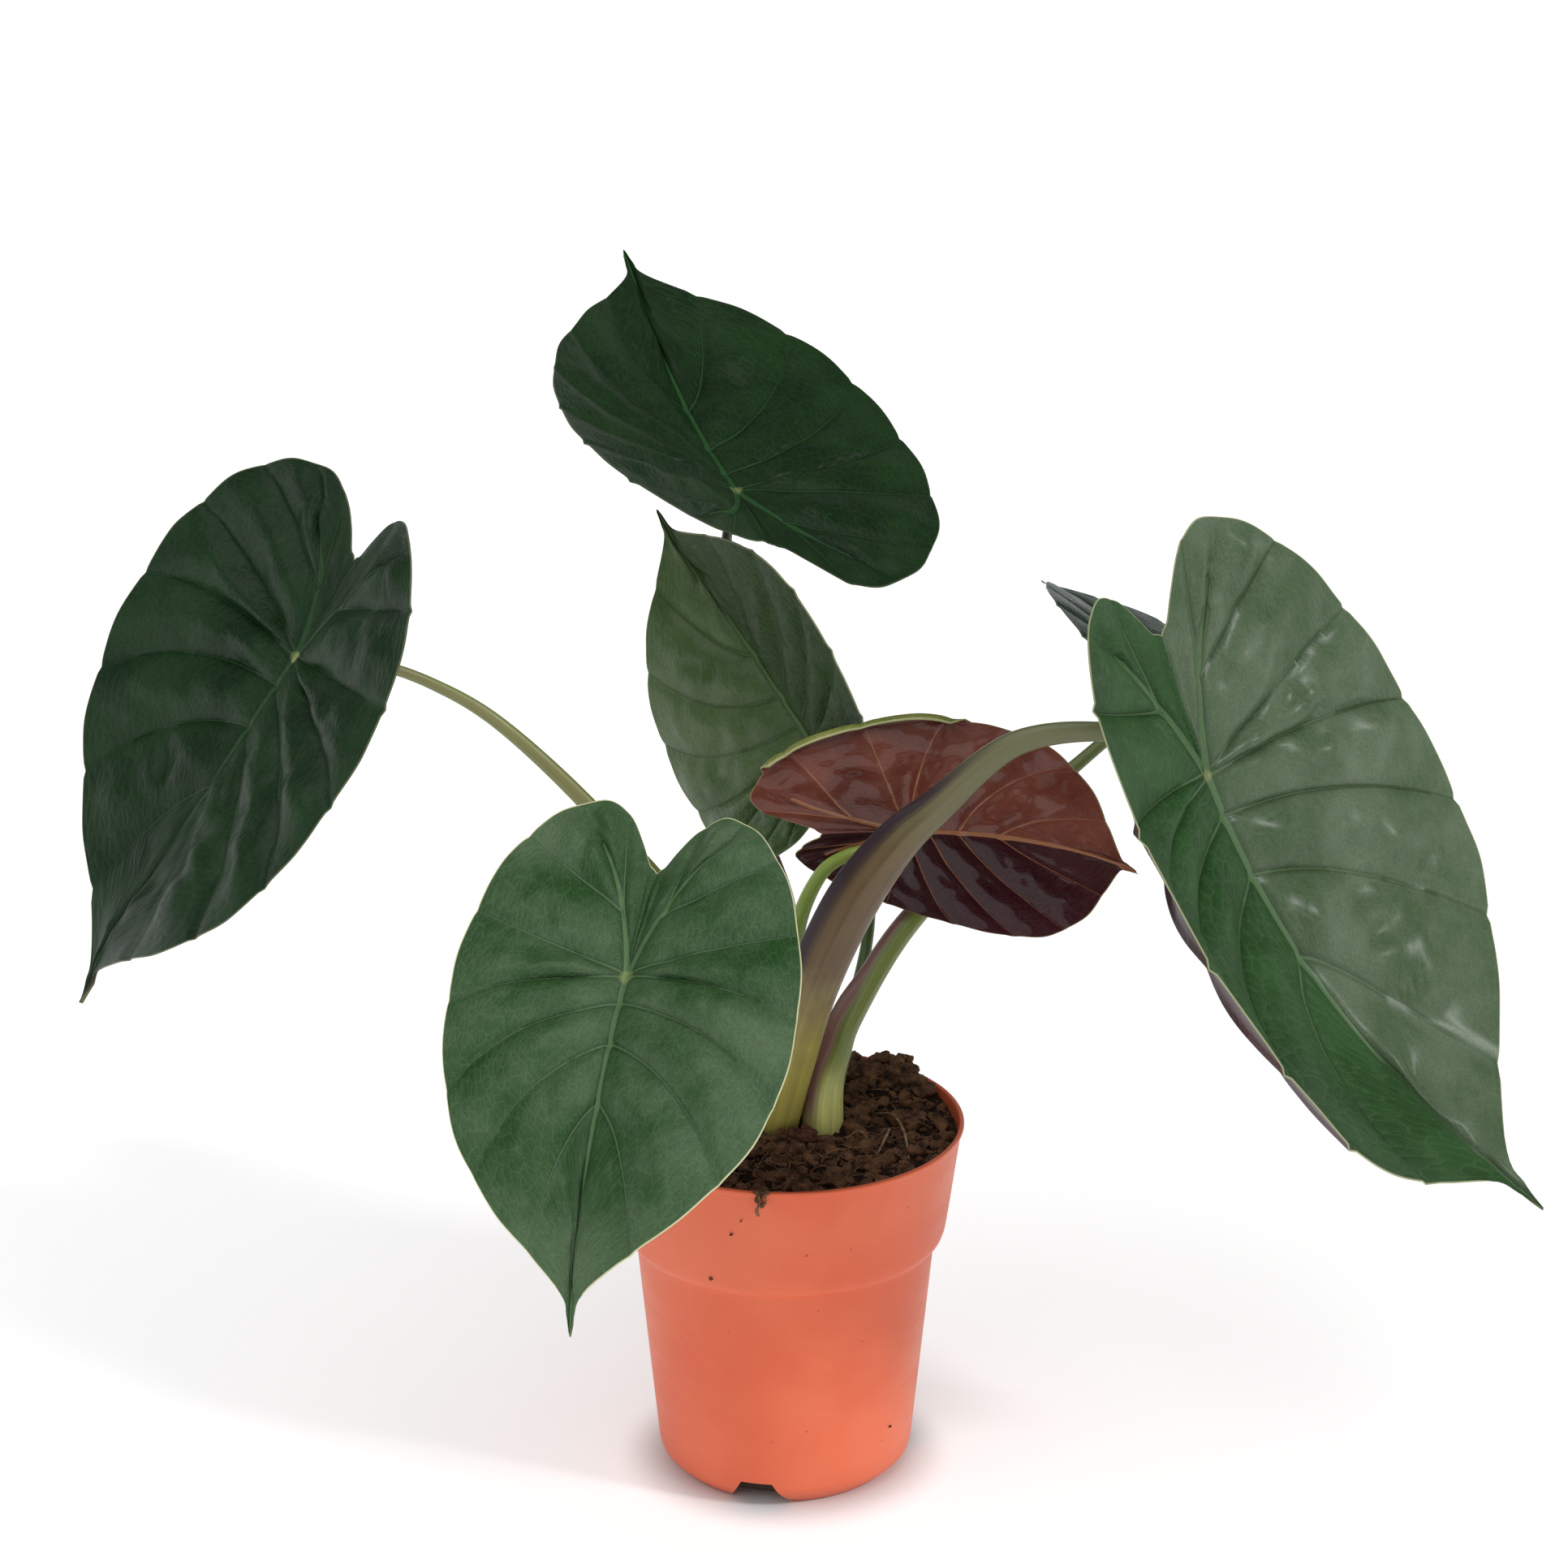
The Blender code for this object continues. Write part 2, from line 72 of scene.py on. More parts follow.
# Veins from the tip round to the notch: place on the midrib or lobe rib, outline point.
VEINS = (
    (1.00, 0.0), (0.37, 3.1), (0.20, 4.6), (0.08, 6.0), (0.00, 7.4), (-0.02, 9.0),
    (-0.45, 10.3), (-1.00, 11.5), (-0.45, 12.9), (-0.03, 14.8), (0.00, 16.0),
)
FIRST_HUB_VEIN = 4
# Rows without a vein of their own: the tip, the end of the lobe rib and the notch.
NO_VEIN_ROWS = (0, 7, 9, 10)

# Each blade: hub (x, y, height above the soil), heading and droop of its midrib and roll
# about it in degrees, length, then pairs for its right and left halves: width, taper, lobe
# length, fold up from flat, curl down to the margin. bend is the midrib's droop to the tip
# and to the lobes.
LEAVES = {
    "left": dict(
        hub=(-0.225, 0.002, 0.232), heading=-175, droop=55, roll=-25, length=0.200,
        width=(1.13, 1.02), taper=(0.06, 0.12), lobes=(0.80, 0.94), bend=(5, -24),
        fold=(6, 17), curl=(-17, 29), twist=-2,
    ),
    "top": dict(
        hub=(-0.024, 0.140, 0.272), heading=112, droop=-15, roll=8, length=0.189,
        width=(1.06, 1.02), taper=(-0.04, -0.32), lobes=(1.01, 0.68), bend=(-23, 12),
        fold=(16, 23), curl=(12, 6), twist=8,
    ),
    "rear": dict(
        hub=(0.013, 0.090, 0.159), heading=136, droop=-43, roll=-82, length=0.142,
        width=(1.02, 1.30), taper=(0.41, -0.10), lobes=(0.81, 0.46), bend=(-3, 2),
        fold=(26, 14), curl=(2, 28), twist=-2,
    ),
    "young": dict(
        hub=(0.058, 0.019, 0.1405), heading=-9, droop=-4, roll=-82, length=0.121,
        width=(0.91, 0.98), taper=(0.09, 0.61), lobes=(1.25, 0.93), bend=(41, 13),
        fold=(34, 14), curl=(6, 16), twist=3,
    ),
    "front": dict(
        hub=(-0.070, -0.129, 0.127), heading=-107, droop=39, roll=11, length=0.163,
        width=(0.98, 1.19), taper=(-0.11, 0.26), lobes=(1.11, 1.02), bend=(25, 11),
        fold=(16, 18), curl=(7, 31), twist=-4,
    ),
    "rear_right": dict(
        hub=(0.189, 0.081, 0.189), heading=116, droop=-20, roll=24, length=0.124,
        width=(1.00, 1.01), taper=(0.00, 0.00), lobes=(1.00, 1.00), bend=(20, 9),
        fold=(10, 12), curl=(9, 10), twist=0,
    ),
    "right": dict(
        hub=(0.193, -0.028, 0.185), heading=-1, droop=69, roll=24, length=0.262,
        width=(1.25, 1.12), taper=(0.32, 0.42), lobes=(0.86, 0.88), bend=(-39, -14),
        fold=(-8, 23), curl=(-38, 2), twist=9,
    ),
}

# Surface of each blade, in metres: quilting between the veins, puckers on its right and
# left halves, margin waves. roll is a rolled margin: side, first and last row, share where
# it starts, width of the rolled strip and its turn in degrees.
RELIEF = {
    "left": dict(quilt=0.0048, pucker=(0.0022, 0.0026), wave=0.0014, roll=None),
    "top": dict(quilt=0.0034, pucker=(0.0016, 0.0016), wave=0.0014, roll=None),
    "rear": dict(quilt=0.0030, pucker=(0.0014, 0.0026), wave=0.0007, roll=None),
    "young": dict(quilt=0.0016, pucker=(0.0016, 0.0012), wave=0.0007,
                  roll=(1, 3.7, 6.65, 0.88, 0.0100, -170)),
    "front": dict(quilt=0.0034, pucker=(0.0018, 0.0018), wave=0.0007, roll=None),
    "rear_right": dict(quilt=0.0010, pucker=(0.0006, 0.0006), wave=0.0006, roll=None),
    "right": dict(quilt=0.0044, pucker=(0.0012, 0.0046), wave=0.0012, roll=None),
}

# Petioles: (x, y, height above the soil, radius).
PETIOLES = {
    "left": (
        (-0.017, 0.023, 0.000, 0.0080), (-0.026, 0.026, 0.045, 0.0062),
        (-0.045, 0.028, 0.090, 0.0050), (-0.089, 0.028, 0.146, 0.0041),
        (-0.132, 0.024, 0.191, 0.0033), (-0.164, 0.020, 0.213, 0.0028),
        (-0.192, 0.013, 0.225, 0.0026),
    ),
    "top": (
        (0.002, 0.027, 0.000, 0.0078), (0.003, 0.052, 0.030, 0.0058),
        (0.001, 0.092, 0.072, 0.0046), (-0.009, 0.116, 0.097, 0.0042),
        (-0.020, 0.133, 0.133, 0.0037), (-0.027, 0.147, 0.192, 0.0030),
        (-0.029, 0.151, 0.234, 0.0027),
    ),
    "rear": (
        (0.019, 0.021, 0.000, 0.0064), (0.028, 0.030, 0.027, 0.0045),
        (0.038, 0.050, 0.064, 0.0030), (0.041, 0.071, 0.085, 0.0028),
        (0.039, 0.094, 0.111, 0.0026), (0.029, 0.106, 0.139, 0.0025),
    ),
    "young": (
        (0.004, 0.011, 0.000, 0.0050), (0.004, 0.012, 0.030, 0.0046),
        (0.004, 0.014, 0.062, 0.0044), (0.006, 0.016, 0.094, 0.0040),
        (0.016, 0.013, 0.120, 0.0034), (0.028, 0.008, 0.132, 0.0030),
        (0.043, 0.005, 0.137, 0.0028),
    ),
    "front": (
        (-0.028, 0.003, 0.000, 0.0084), (-0.036, -0.012, 0.042, 0.0058),
        (-0.046, -0.040, 0.078, 0.0045), (-0.057, -0.082, 0.104, 0.0034),
        (-0.063, -0.110, 0.112, 0.0028),
    ),
    "rear_right": (
        (0.0175, -0.004, 0.000, 0.0102), (0.019, -0.002, 0.020, 0.0088),
        (0.024, 0.003, 0.035, 0.0072), (0.031, 0.011, 0.051, 0.0066),
        (0.055, 0.036, 0.083, 0.0059), (0.091, 0.063, 0.113, 0.0046),
        (0.138, 0.080, 0.150, 0.0034), (0.163, 0.084, 0.170, 0.0029),
    ),
    "right": (
        (-0.0065, -0.004, 0.000, 0.0114), (0.002, -0.009, 0.034, 0.0118),
        (0.011, -0.013, 0.069, 0.0120), (0.022, -0.016, 0.099, 0.0122),
        (0.035, -0.019, 0.126, 0.0120), (0.051, -0.023, 0.150, 0.0104),
        (0.068, -0.026, 0.168, 0.0086), (0.104, -0.031, 0.201, 0.0062),
        (0.145, -0.034, 0.208, 0.0047), (0.168, -0.032, 0.199, 0.0040),
    ),
}
STEM_SIDES = 48
STEM_STEPS = 14
STEM_ROOTED = 0.004
STEM_STUB = 0.010
STEM_END = 0.0024
STEM_FLARE = 1.15
STEM_GAP = 0.0006
STEM_JOINED = 0.0005
CAD_THICKNESS = 0.0010

# Each sheath: flat is the stem's depth over its width, wing is (where round the stem, how
# far it stands out, start and end along the stem).
SHEATHS = {
    "right": dict(flat=0.70, wing=(0.02, 0.16, 0.05, 0.56)),
    "rear_right": dict(flat=0.85, wing=(0.02, 0.42, 0.05, 0.40)),
    "top": dict(flat=0.9, wing=(0.30, 0.10, 0.02, 0.35)),
    "left": dict(flat=0.9, wing=(0.60, 0.10, 0.02, 0.35)),
    "front": dict(flat=0.9, wing=(0.50, 0.10, 0.02, 0.40)),
}

# Roots on the soil, as (x, y, height above its surface).
ROOTS = {
    "root_loop_right": (
        (0.043, 0.012, 0.0), (0.051, -0.002, 0.004), (0.056, -0.018, 0.003), (0.058, -0.036, 0.0),
    ),
    "root_loop_middle": (
        (0.043, -0.034, 0.0), (0.047, -0.026, 0.003), (0.049, -0.017, 0.003), (0.048, -0.009, 0.0),
    ),
    "root_front": (
        (0.029, -0.017, 0.0), (0.035, -0.018, 0.002), (0.040, -0.021, 0.0),
    ),
}
ROOT_RADIUS = 0.0006


# ---------------------------------------------------------------- shaping helpers


def only(piece):
    bpy.ops.object.select_all(action="DESELECT")
    bpy.context.view_layer.objects.active = piece
    piece.select_set(True)


def edit_all(piece):
    only(piece)
    bpy.ops.object.mode_set(mode="EDIT")
    bpy.ops.mesh.select_all(action="SELECT")


def smooth(piece, angle):
    only(piece)
    bpy.ops.object.shade_smooth_by_angle(angle=math.radians(angle))


def apply_all(piece):
    only(piece)
    for modifier in list(piece.modifiers):
        bpy.ops.object.modifier_apply(modifier=modifier.name)


def settle(piece):
    """Puts the piece's place into its mesh, with the object at the origin."""
    only(piece)
    bpy.ops.object.transform_apply(location=True, rotation=True, scale=True)


def hand_over(piece, slot, *nodes):
    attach(piece, "root")
    if nodes:
        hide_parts(*nodes)


def fresh(primitive, name, **settings):
    """New object from one of Blender's primitives."""
    bpy.ops.object.select_all(action="DESELECT")
    primitive(**settings)
    piece = bpy.context.object
    piece.name = piece.data.name = name
    return piece


def grid(name, across, along):
    """Flat grid whose vertices sit at (share across, share along) less one half."""
    add_grid = bpy.ops.mesh.primitive_grid_add
    return fresh(add_grid, name, x_subdivisions=across, y_subdivisions=along, size=1)


def close_up():
    """Fills the open ends of the piece in edit mode, faces it outwards and leaves that mode."""
    bpy.ops.mesh.select_all(action="SELECT")
    bpy.ops.mesh.fill_holes(sides=0)
    bpy.ops.mesh.select_all(action="SELECT")
    bpy.ops.mesh.normals_make_consistent(inside=False)
    bpy.ops.object.mode_set(mode="OBJECT")


def turned(name, profile, sides):
    """A ring drawn up through (radius, height) steps and closed at both ends."""
    start, foot = profile[0]
    add_ring = bpy.ops.mesh.primitive_circle_add
    piece = fresh(add_ring, name, vertices=sides, radius=start, location=(0, 0, foot))
    settle(piece)
    edit_all(piece)
    for (radius, height), (wider, higher) in zip(profile, profile[1:]):
        bpy.ops.mesh.extrude_region_move(
            TRANSFORM_OT_translate={"value": (0, 0, higher - height)}
        )
        grow = wider / radius
        bpy.ops.transform.resize(value=(grow, grow, 1), center_override=(0, 0, higher))
    close_up()
    return piece


def through(points, share):
    """Point at share (0 to 1 along the list) of the smooth curve through the points."""
    last = len(points) - 1
    place = min(max(share, 0.0), 1.0) * last
    start = min(int(place), last - 1)
    step = place - start
    a, b = Vector(points[start]), Vector(points[start + 1])
    before = Vector(points[start - 1]) if start else 2 * a - b
    after = Vector(points[start + 2]) if start + 2 <= last else 2 * b - a
    slope_a = (b - before) / 2
    slope_b = (after - a) / 2
    return (
        a * (1 - 3 * step**2 + 2 * step**3)
        + b * (3 * step**2 - 2 * step**3)
        + slope_a * (step - 2 * step**2 + step**3)
        + slope_b * (step**3 - step**2)
    )


def ease(value, low, high):
    share = min(max((value - low) / (high - low), 0.0), 1.0)
    return share * share * (3 - 2 * share)


def swept(name, route, sides, steps, flat=1.0, wing=None, knots=0.0):
    """Closed stem along (x, y, z, radius) points. u runs round it, v along it."""
    count = (len(route) - 1) * steps
    stations = [through(route, step / count) for step in range(count + 1)]
    frames = []
    wide = Vector((-1, 0, 0))
    for index, station in enumerate(stations):
        ahead = stations[min(index + 1, count)].xyz - stations[max(index - 1, 0)].xyz
        ahead = ahead.normalized() if index else Vector((0, 0, 1))
        wide = (wide - ahead * wide.dot(ahead)).normalized()
        frames.append((station.xyz, station.w, wide.copy(), ahead.cross(wide)))
    stem = grid(name, sides, count)
    for vertex in stem.data.vertices:
        turn, along = vertex.co.x + 0.5, vertex.co.y + 0.5
        centre, radius, wide, deep = frames[round(along * count)]
        angle = 2 * math.pi * turn
        thin = 1.0
        if wing:
            at, out, start, end = wing
            near = abs((turn - at + 0.5) % 1.0 - 0.5)
            here = ease(along, start, start + 0.15) * (1 - ease(along, end - 0.06, end))
            thin -= 0.45 * here * math.exp(-((near / 0.16) ** 2))
            groove = math.exp(-(((near - 0.17) / 0.035) ** 2))
            crest = math.exp(-((near / 0.09) ** 2))
            radius *= 1 + here * out * (0.8 * crest - 0.45 * groove)
        if knots:
            radius *= 1 + knots * noise.noise(Vector((turn * 3, along * 40, sides)))
        across = wide * math.cos(angle) + deep * math.sin(angle) * flat * thin
        vertex.co = centre + across * radius
    edit_all(stem)
    bpy.ops.mesh.remove_doubles(threshold=0.00001)
    close_up()
    smooth(stem, 50)
    return stem


# ---------------------------------------------------------------- material helpers


def tone(red, green, blue):
    """Linear colour of a display colour given as 0 to 255."""
    return tuple(
        (c / 12.92 if c <= 0.04045 else ((c + 0.055) / 1.055) ** 2.4)
        for c in (red / 255, green / 255, blue / 255)
    ) + (1.0,)


def add(tree, kind, settings=None, **inputs):
    """New shader node. Inputs are named, with _ for a space, or numbered as at0, at1."""
    made = tree.nodes.new("ShaderNode" + kind)
    for key, value in (settings or {}).items():
        setattr(made, key, value)
    for key, value in inputs.items():
        place = int(key[2:]) if key[:2] == "at" and key[2:].isdigit() else key.replace("_", " ")
        if isinstance(value, bpy.types.NodeSocket):
            tree.links.new(value, made.inputs[place])
        else:
            made.inputs[place].default_value = value
    return made


def sums(tree, operation, a, b=0.0, c=None):
    inputs = {"at0": a, "at1": b}
    if c is not None:
        inputs["at2"] = c
    return add(tree, "Math", {"operation": operation}, **inputs).outputs[0]


def blend_of(tree, factor, a, b, mode="MIX"):
    settings = {"data_type": "RGBA", "blend_type": mode}
    return add(tree, "Mix", settings, at0=factor, at6=a, at7=b).outputs[2]


def laid_over(tree, below, mask, strength, colour):
    """Display colour laid over the colour below wherever the mask is."""
    return blend_of(tree, sums(tree, "MULTIPLY", mask, strength), below, tone(*colour))


def grey_of(tree, value):
    return add(tree, "CombineColor", None, Red=value, Green=value, Blue=value).outputs[0]


def fade(tree, value, low, high, start=0.0, end=1.0):
    inputs = {"Value": value, "From_Min": low, "From_Max": high, "To_Min": start, "To_Max": end}
    return add(tree, "MapRange", {"interpolation_type": "SMOOTHSTEP"}, **inputs).outputs[0]


def speckle(tree, where, scale, detail=3.0, rough=0.55):
    inputs = {"Vector": where, "Scale": scale, "Detail": detail, "Roughness": rough}
    return add(tree, "TexNoise", None, **inputs).outputs[0]


def stretched(tree, where, scale):
    return add(tree, "Mapping", None, Vector=where, Scale=scale).outputs[0]


def group(name, inputs, outputs):
    """Empty node group with typed sockets. Returns it with its input and output nodes."""
    tree = bpy.data.node_groups.new(name, "ShaderNodeTree")
    for label, kind in inputs:
        tree.interface.new_socket(label, in_out="INPUT", socket_type="NodeSocket" + kind)
    for label, kind in outputs:
        tree.interface.new_socket(label, in_out="OUTPUT", socket_type="NodeSocket" + kind)
    return tree, tree.nodes.new("NodeGroupInput").outputs, tree.nodes.new("NodeGroupOutput").inputs


def finish_of(name, roughness, coat=0.0, coat_roughness=0.2, specular=0.5):
    """New material with its tree and Principled shader, constants on the shader."""
    made = bpy.data.materials.new(name)
    made.use_nodes = True
    tree = made.node_tree
    shader = tree.nodes["Principled BSDF"]
    shader.inputs["Roughness"].default_value = roughness
    shader.inputs["Coat Weight"].default_value = coat
    shader.inputs["Coat Roughness"].default_value = coat_roughness
    shader.inputs["Specular IOR Level"].default_value = specular
    return made, tree, shader


def feed(tree, shader, **inputs):
    """Links values to the shader's sockets, named with _ for a space."""
    for label, value in inputs.items():
        tree.links.new(value, shader.inputs[label.replace("_", " ")])


def relief_to(tree, shader, height, strength, distance):
    bump = add(tree, "Bump", None, Height=height, Strength=strength, Distance=distance)
    feed(tree, shader, Normal=bump.outputs[0])


def place_group(tree, made, **inputs):
    return add(tree, "Group", {"node_tree": made}, **inputs).outputs


# ---------------------------------------------------------------- leaf finishes


LEAF_MASKS = ("Veins", "Net", "Mottle", "Fine", "Margin", "Hub", "Left half", "Groove shade", "Height")
CELL_STRETCH = (5.5, 24.0, 1.0)
FLANK_SHADE = (8, 24, 10)
HUB_TONE = (150, 165, 105)
MARGIN_TONE = (205, 205, 160)
UNDER_MARGIN_TONE = (150, 130, 80)


def leaf_network():
    """Veins, net of small veins and mottling that both faces of every blade share."""
    tree, given, result = group(
        "leaf_network",
        (("Net scale", "Float"), ("Mottle scale", "Float")),
        [(mask, "Float") for mask in LEAF_MASKS],
    )
    object_place = add(tree, "TexCoord").outputs["Object"]
    blade_place = add(tree, "UVMap", {"uv_map": "blade_place"}).outputs[0]
    rib, vein, edge, hub = (
        add(tree, "Attribute", {"attribute_name": trait}).outputs["Fac"]
        for trait in ("rib", "vein", "edge", "hub")
    )
    wobble = speckle(tree, object_place, 60.0, 2.0)
    rib_line = fade(tree, rib, 0.75, 1.15, 1.0, 0.0)
    vein_line = fade(tree, vein, 0.45, 1.1, 1.0, 0.0)
    lines = sums(tree, "MAXIMUM", rib_line, sums(tree, "MULTIPLY", vein_line, 0.85))
    push = add(tree, "TexNoise", None, Vector=object_place, Scale=45.0, Detail=2.0)
    push = add(tree, "VectorMath", {"operation": "SCALE"}, at0=push.outputs["Color"], Scale=0.9)
    cell_place = stretched(tree, blade_place, CELL_STRETCH)
    bent = add(tree, "VectorMath", {"operation": "ADD"}, at0=cell_place, at1=push.outputs[0])
    cells = add(tree, "TexVoronoi", {"feature": "DISTANCE_TO_EDGE"},
                Vector=bent.outputs[0], Scale=given["Net scale"]).outputs["Distance"]
    net = fade(tree, cells, 0.0, 0.08, 1.0, 0.0)
    mottle = speckle(tree, object_place, given["Mottle scale"], 4.0, 0.6)
    fine = speckle(tree, object_place, 900.0, 3.0, 0.6)
    margin = fade(tree, edge, 0.7, 1.25, 1.0, 0.0)
    spot = fade(tree, hub, 0.5, 1.2, 1.0, 0.0)
    pillow = fade(tree, cells, 0.0, 0.35, 0.0, 1.0)
    height = sums(tree, "MULTIPLY", pillow, 0.34)
    height = sums(tree, "MULTIPLY_ADD", fine, 0.08, height)
    height = sums(tree, "MULTIPLY_ADD", wobble, 0.45, height)
    height = sums(tree, "MULTIPLY_ADD", lines, -0.8, height)
    across = add(tree, "SeparateXYZ", None, Vector=blade_place).outputs[0]
    left_half = fade(tree, across, 14.0, 18.0)
    # Painted shade in the grooves beside the midrib and the veins.
    beside = sums(tree, "MINIMUM", sums(tree, "MULTIPLY", rib, 1.5), vein)
    groove_shade = fade(tree, beside, 1.0, 3.6, 1.0, 0.0)
    found = (lines, net, mottle, fine, margin, spot, left_half, groove_shade, height)
    for mask, value in zip(LEAF_MASKS, found):
        tree.links.new(value, result[mask])
    return tree


LEAF_NETWORK = leaf_network()


def upper_face(name, deep, pale, vein, left=None, margin=0.6, net=0.20, sheen=(0.05, 0.05),
               roughness=0.38, patch=26.0, blemish=()):
    """Glossy upper face: deep and pale tissue, lighter veins and a thin cream margin."""
    made, tree, shader = finish_of(f"upper_face_{name}", roughness, sheen[0], 0.28, 0.12)
    parts = place_group(tree, LEAF_NETWORK, Net_scale=1.0, Mottle_scale=patch)
    coat = fade(tree, parts["Left half"], 0.0, 1.0, sheen[0], sheen[1])
    where = add(tree, "TexCoord").outputs["Object"]
    patches = fade(tree, parts["Mottle"], 0.32, 0.70)
    tissue = blend_of(tree, patches, tone(*deep), tone(*pale))
    # Other colours on the left half; on the right blade these paler colours are a painted sheen.
    if left:
        other = blend_of(tree, patches, tone(*left[0]), tone(*left[1]))
        tissue = blend_of(tree, parts["Left half"], tissue, other)
    grain = fade(tree, parts["Fine"], 0.30, 0.72, 0.84, 1.16)
    tissue = blend_of(tree, 1.0, tissue, grey_of(tree, grain), "MULTIPLY")
    # Painted shade (FLANK_SHADE) is laid beside the veins, where their grooves are shaded.
    for mask, strength, colour in (("Net", net, vein), ("Groove shade", 0.34, FLANK_SHADE),
                                   ("Veins", 0.70, vein), ("Hub", 0.5, HUB_TONE)):
        tissue = laid_over(tree, tissue, parts[mask], strength, colour)
    for centre, radius, colour in blemish:
        away = add(tree, "VectorMath", {"operation": "DISTANCE"}, at0=where, at1=centre)
        away = away.outputs["Value"]
        ragged = sums(tree, "MULTIPLY_ADD", speckle(tree, where, 350.0), 0.9 * radius, away)
        spot = fade(tree, ragged, 0.9 * radius, 1.4 * radius, 0.85, 0.0)
        tissue = blend_of(tree, spot, tissue, tone(*colour))
    tissue = laid_over(tree, tissue, parts["Margin"], margin, MARGIN_TONE)
    gloss = fade(tree, parts["Mottle"], 0.25, 0.75, roughness - 0.05, roughness + 0.08)
    gloss = sums(tree, "MULTIPLY_ADD", parts["Fine"], 0.05, gloss)
    feed(tree, shader, Base_Color=tissue, Roughness=gloss, Coat_Weight=coat)
    relief_to(tree, shader, parts["Height"], 0.6, 0.0009)
    return made


def under_face(name, deep, warm, vein, left, roughness=0.3, coat=0.2, net=0.10,
               coat_roughness=0.14):
    """Maroon to purple underside with raised pale veins."""
    made, tree, shader = finish_of(f"under_face_{name}", roughness, coat, coat_roughness, 0.16)
    parts = place_group(tree, LEAF_NETWORK, Net_scale=1.1, Mottle_scale=20.0)
    patches = fade(tree, parts["Mottle"], 0.30, 0.72)
    tissue = blend_of(tree, patches, tone(*deep), tone(*warm))
    other = blend_of(tree, patches, tone(*left[0]), tone(*left[1]))
    tissue = blend_of(tree, parts["Left half"], tissue, other)
    for mask, strength, colour in (("Net", net, vein), ("Veins", 0.75, vein),
                                   ("Margin", 0.5, UNDER_MARGIN_TONE)):
        tissue = laid_over(tree, tissue, parts[mask], strength, colour)
    gloss = fade(tree, parts["Mottle"], 0.25, 0.75, roughness - 0.06, roughness + 0.08)
    feed(tree, shader, Base_Color=tissue, Roughness=gloss)
    relief_to(tree, shader, parts["Height"], 0.4, 0.0008)
    return made


# ---------------------------------------------------------------- blades


def leaf_frame(leaf):
    """Columns: right, forwards along the midrib, up off the blade, and the hub."""
    heading, droop, roll = (math.radians(leaf[key]) for key in ("heading", "droop", "roll"))
    forward = Vector((
        math.cos(droop) * math.cos(heading),
        math.cos(droop) * math.sin(heading),
        -math.sin(droop),
    ))
    level = Vector((0, 0, 1)) - forward * forward.z
    up = (Matrix.Rotation(roll, 3, forward) @ level).normalized()
    x, y, height = leaf["hub"]
    place = Matrix((forward.cross(up), forward, up)).transposed().to_4x4()
    place.translation = Vector((x, y, SOIL_LEVEL + height))
    return place


def on_midrib(place):
    """Flat point of the midrib (place 1 to 0) or of the lobe rib (place 0 to -1)."""
    if place >= 0:
        return Vector((0, place))
    share = -place
    return Vector(RIB_BEND) * 2 * share * (1 - share) + Vector(RIB_END) * share * share


def flat_point(row, share):
    """Flat point of half a blade: row counts veins round from the tip, share runs outwards."""
    vein = min(int(row), len(VEINS) - 2)
    step = row - vein
    (root_a, edge_a), (root_b, edge_b) = VEINS[vein], VEINS[vein + 1]
    root = on_midrib(root_a + (root_b - root_a) * step)
    edge = through(OUTLINE, (edge_a + (edge_b - edge_a) * step) / (len(OUTLINE) - 1))
    behind = min(max(row - FIRST_HUB_VEIN, 0.0), 1.0)
    bend = Vector((root.x + (0.72 - 0.12 * behind) * (edge.x - root.x),
                   root.y + (0.26 + 0.34 * behind) * (edge.y - root.y)))
    return root * (1 - share) ** 2 + bend * 2 * share * (1 - share) + edge * share * share


def arc(distance, turn_per_length):
    """Along and across travel of a run that turns steadily."""
    if abs(turn_per_length) < 1e-6:
        return distance, 0.0
    angle = turn_per_length * distance
    return math.sin(angle) / turn_per_length, (1 - math.cos(angle)) / turn_per_length


def blade_point(leaf, place, side, flat):
    """World point of a flat blade point on the right (side 1) or left (side -1) half."""
    half = 0 if side > 0 else 1
    length = leaf["length"]
    middle = sum(leaf["lobes"]) / 2
    blend = min(flat.x / 0.12, 1.0)
    lobe = middle + (leaf["lobes"][half] - middle) * blend
    out = flat.x * length * leaf["width"][half] * (1 + leaf["taper"][half] * (flat.y - 0.25))
    run = flat.y * length * (lobe if flat.y < 0 else 1.0)
    to_tip, to_lobe = (math.radians(turn) / length for turn in leaf["bend"])
    ahead, drop = arc(max(run, 0.0), to_tip)
    behind, sink = arc(max(-run, 0.0), to_lobe)
    tilt = to_tip * run if run >= 0 else to_lobe * run
    fold = math.radians(leaf["fold"][half])
    curl = math.radians(leaf["curl"][half]) / (0.48 * length)
    across, lift = arc(out, curl)
    across, lift = (
        across * math.cos(fold) + lift * math.sin(fold),
        across * math.sin(fold) - lift * math.cos(fold),
    )
    twist = math.radians(leaf["twist"]) * run / length
    sideways = across * side * math.cos(twist) - lift * math.sin(twist)
    lift = across * side * math.sin(twist) + lift * math.cos(twist)
    return place @ Vector((
        sideways,
        ahead - behind + lift * math.sin(tilt),
        lift * math.cos(tilt) - drop - sink,
    ))


FAR = 9.0


def gap_to_line(point, line):
    """Distance from a flat point to a run of flat points."""
    best = FAR
    for a, b in zip(line, line[1:]):
        along = b - a
        share = min(max((point - a).dot(along) / along.length_squared, 0.0), 1.0)
        best = min(best, (point - a - along * share).length)
    return best


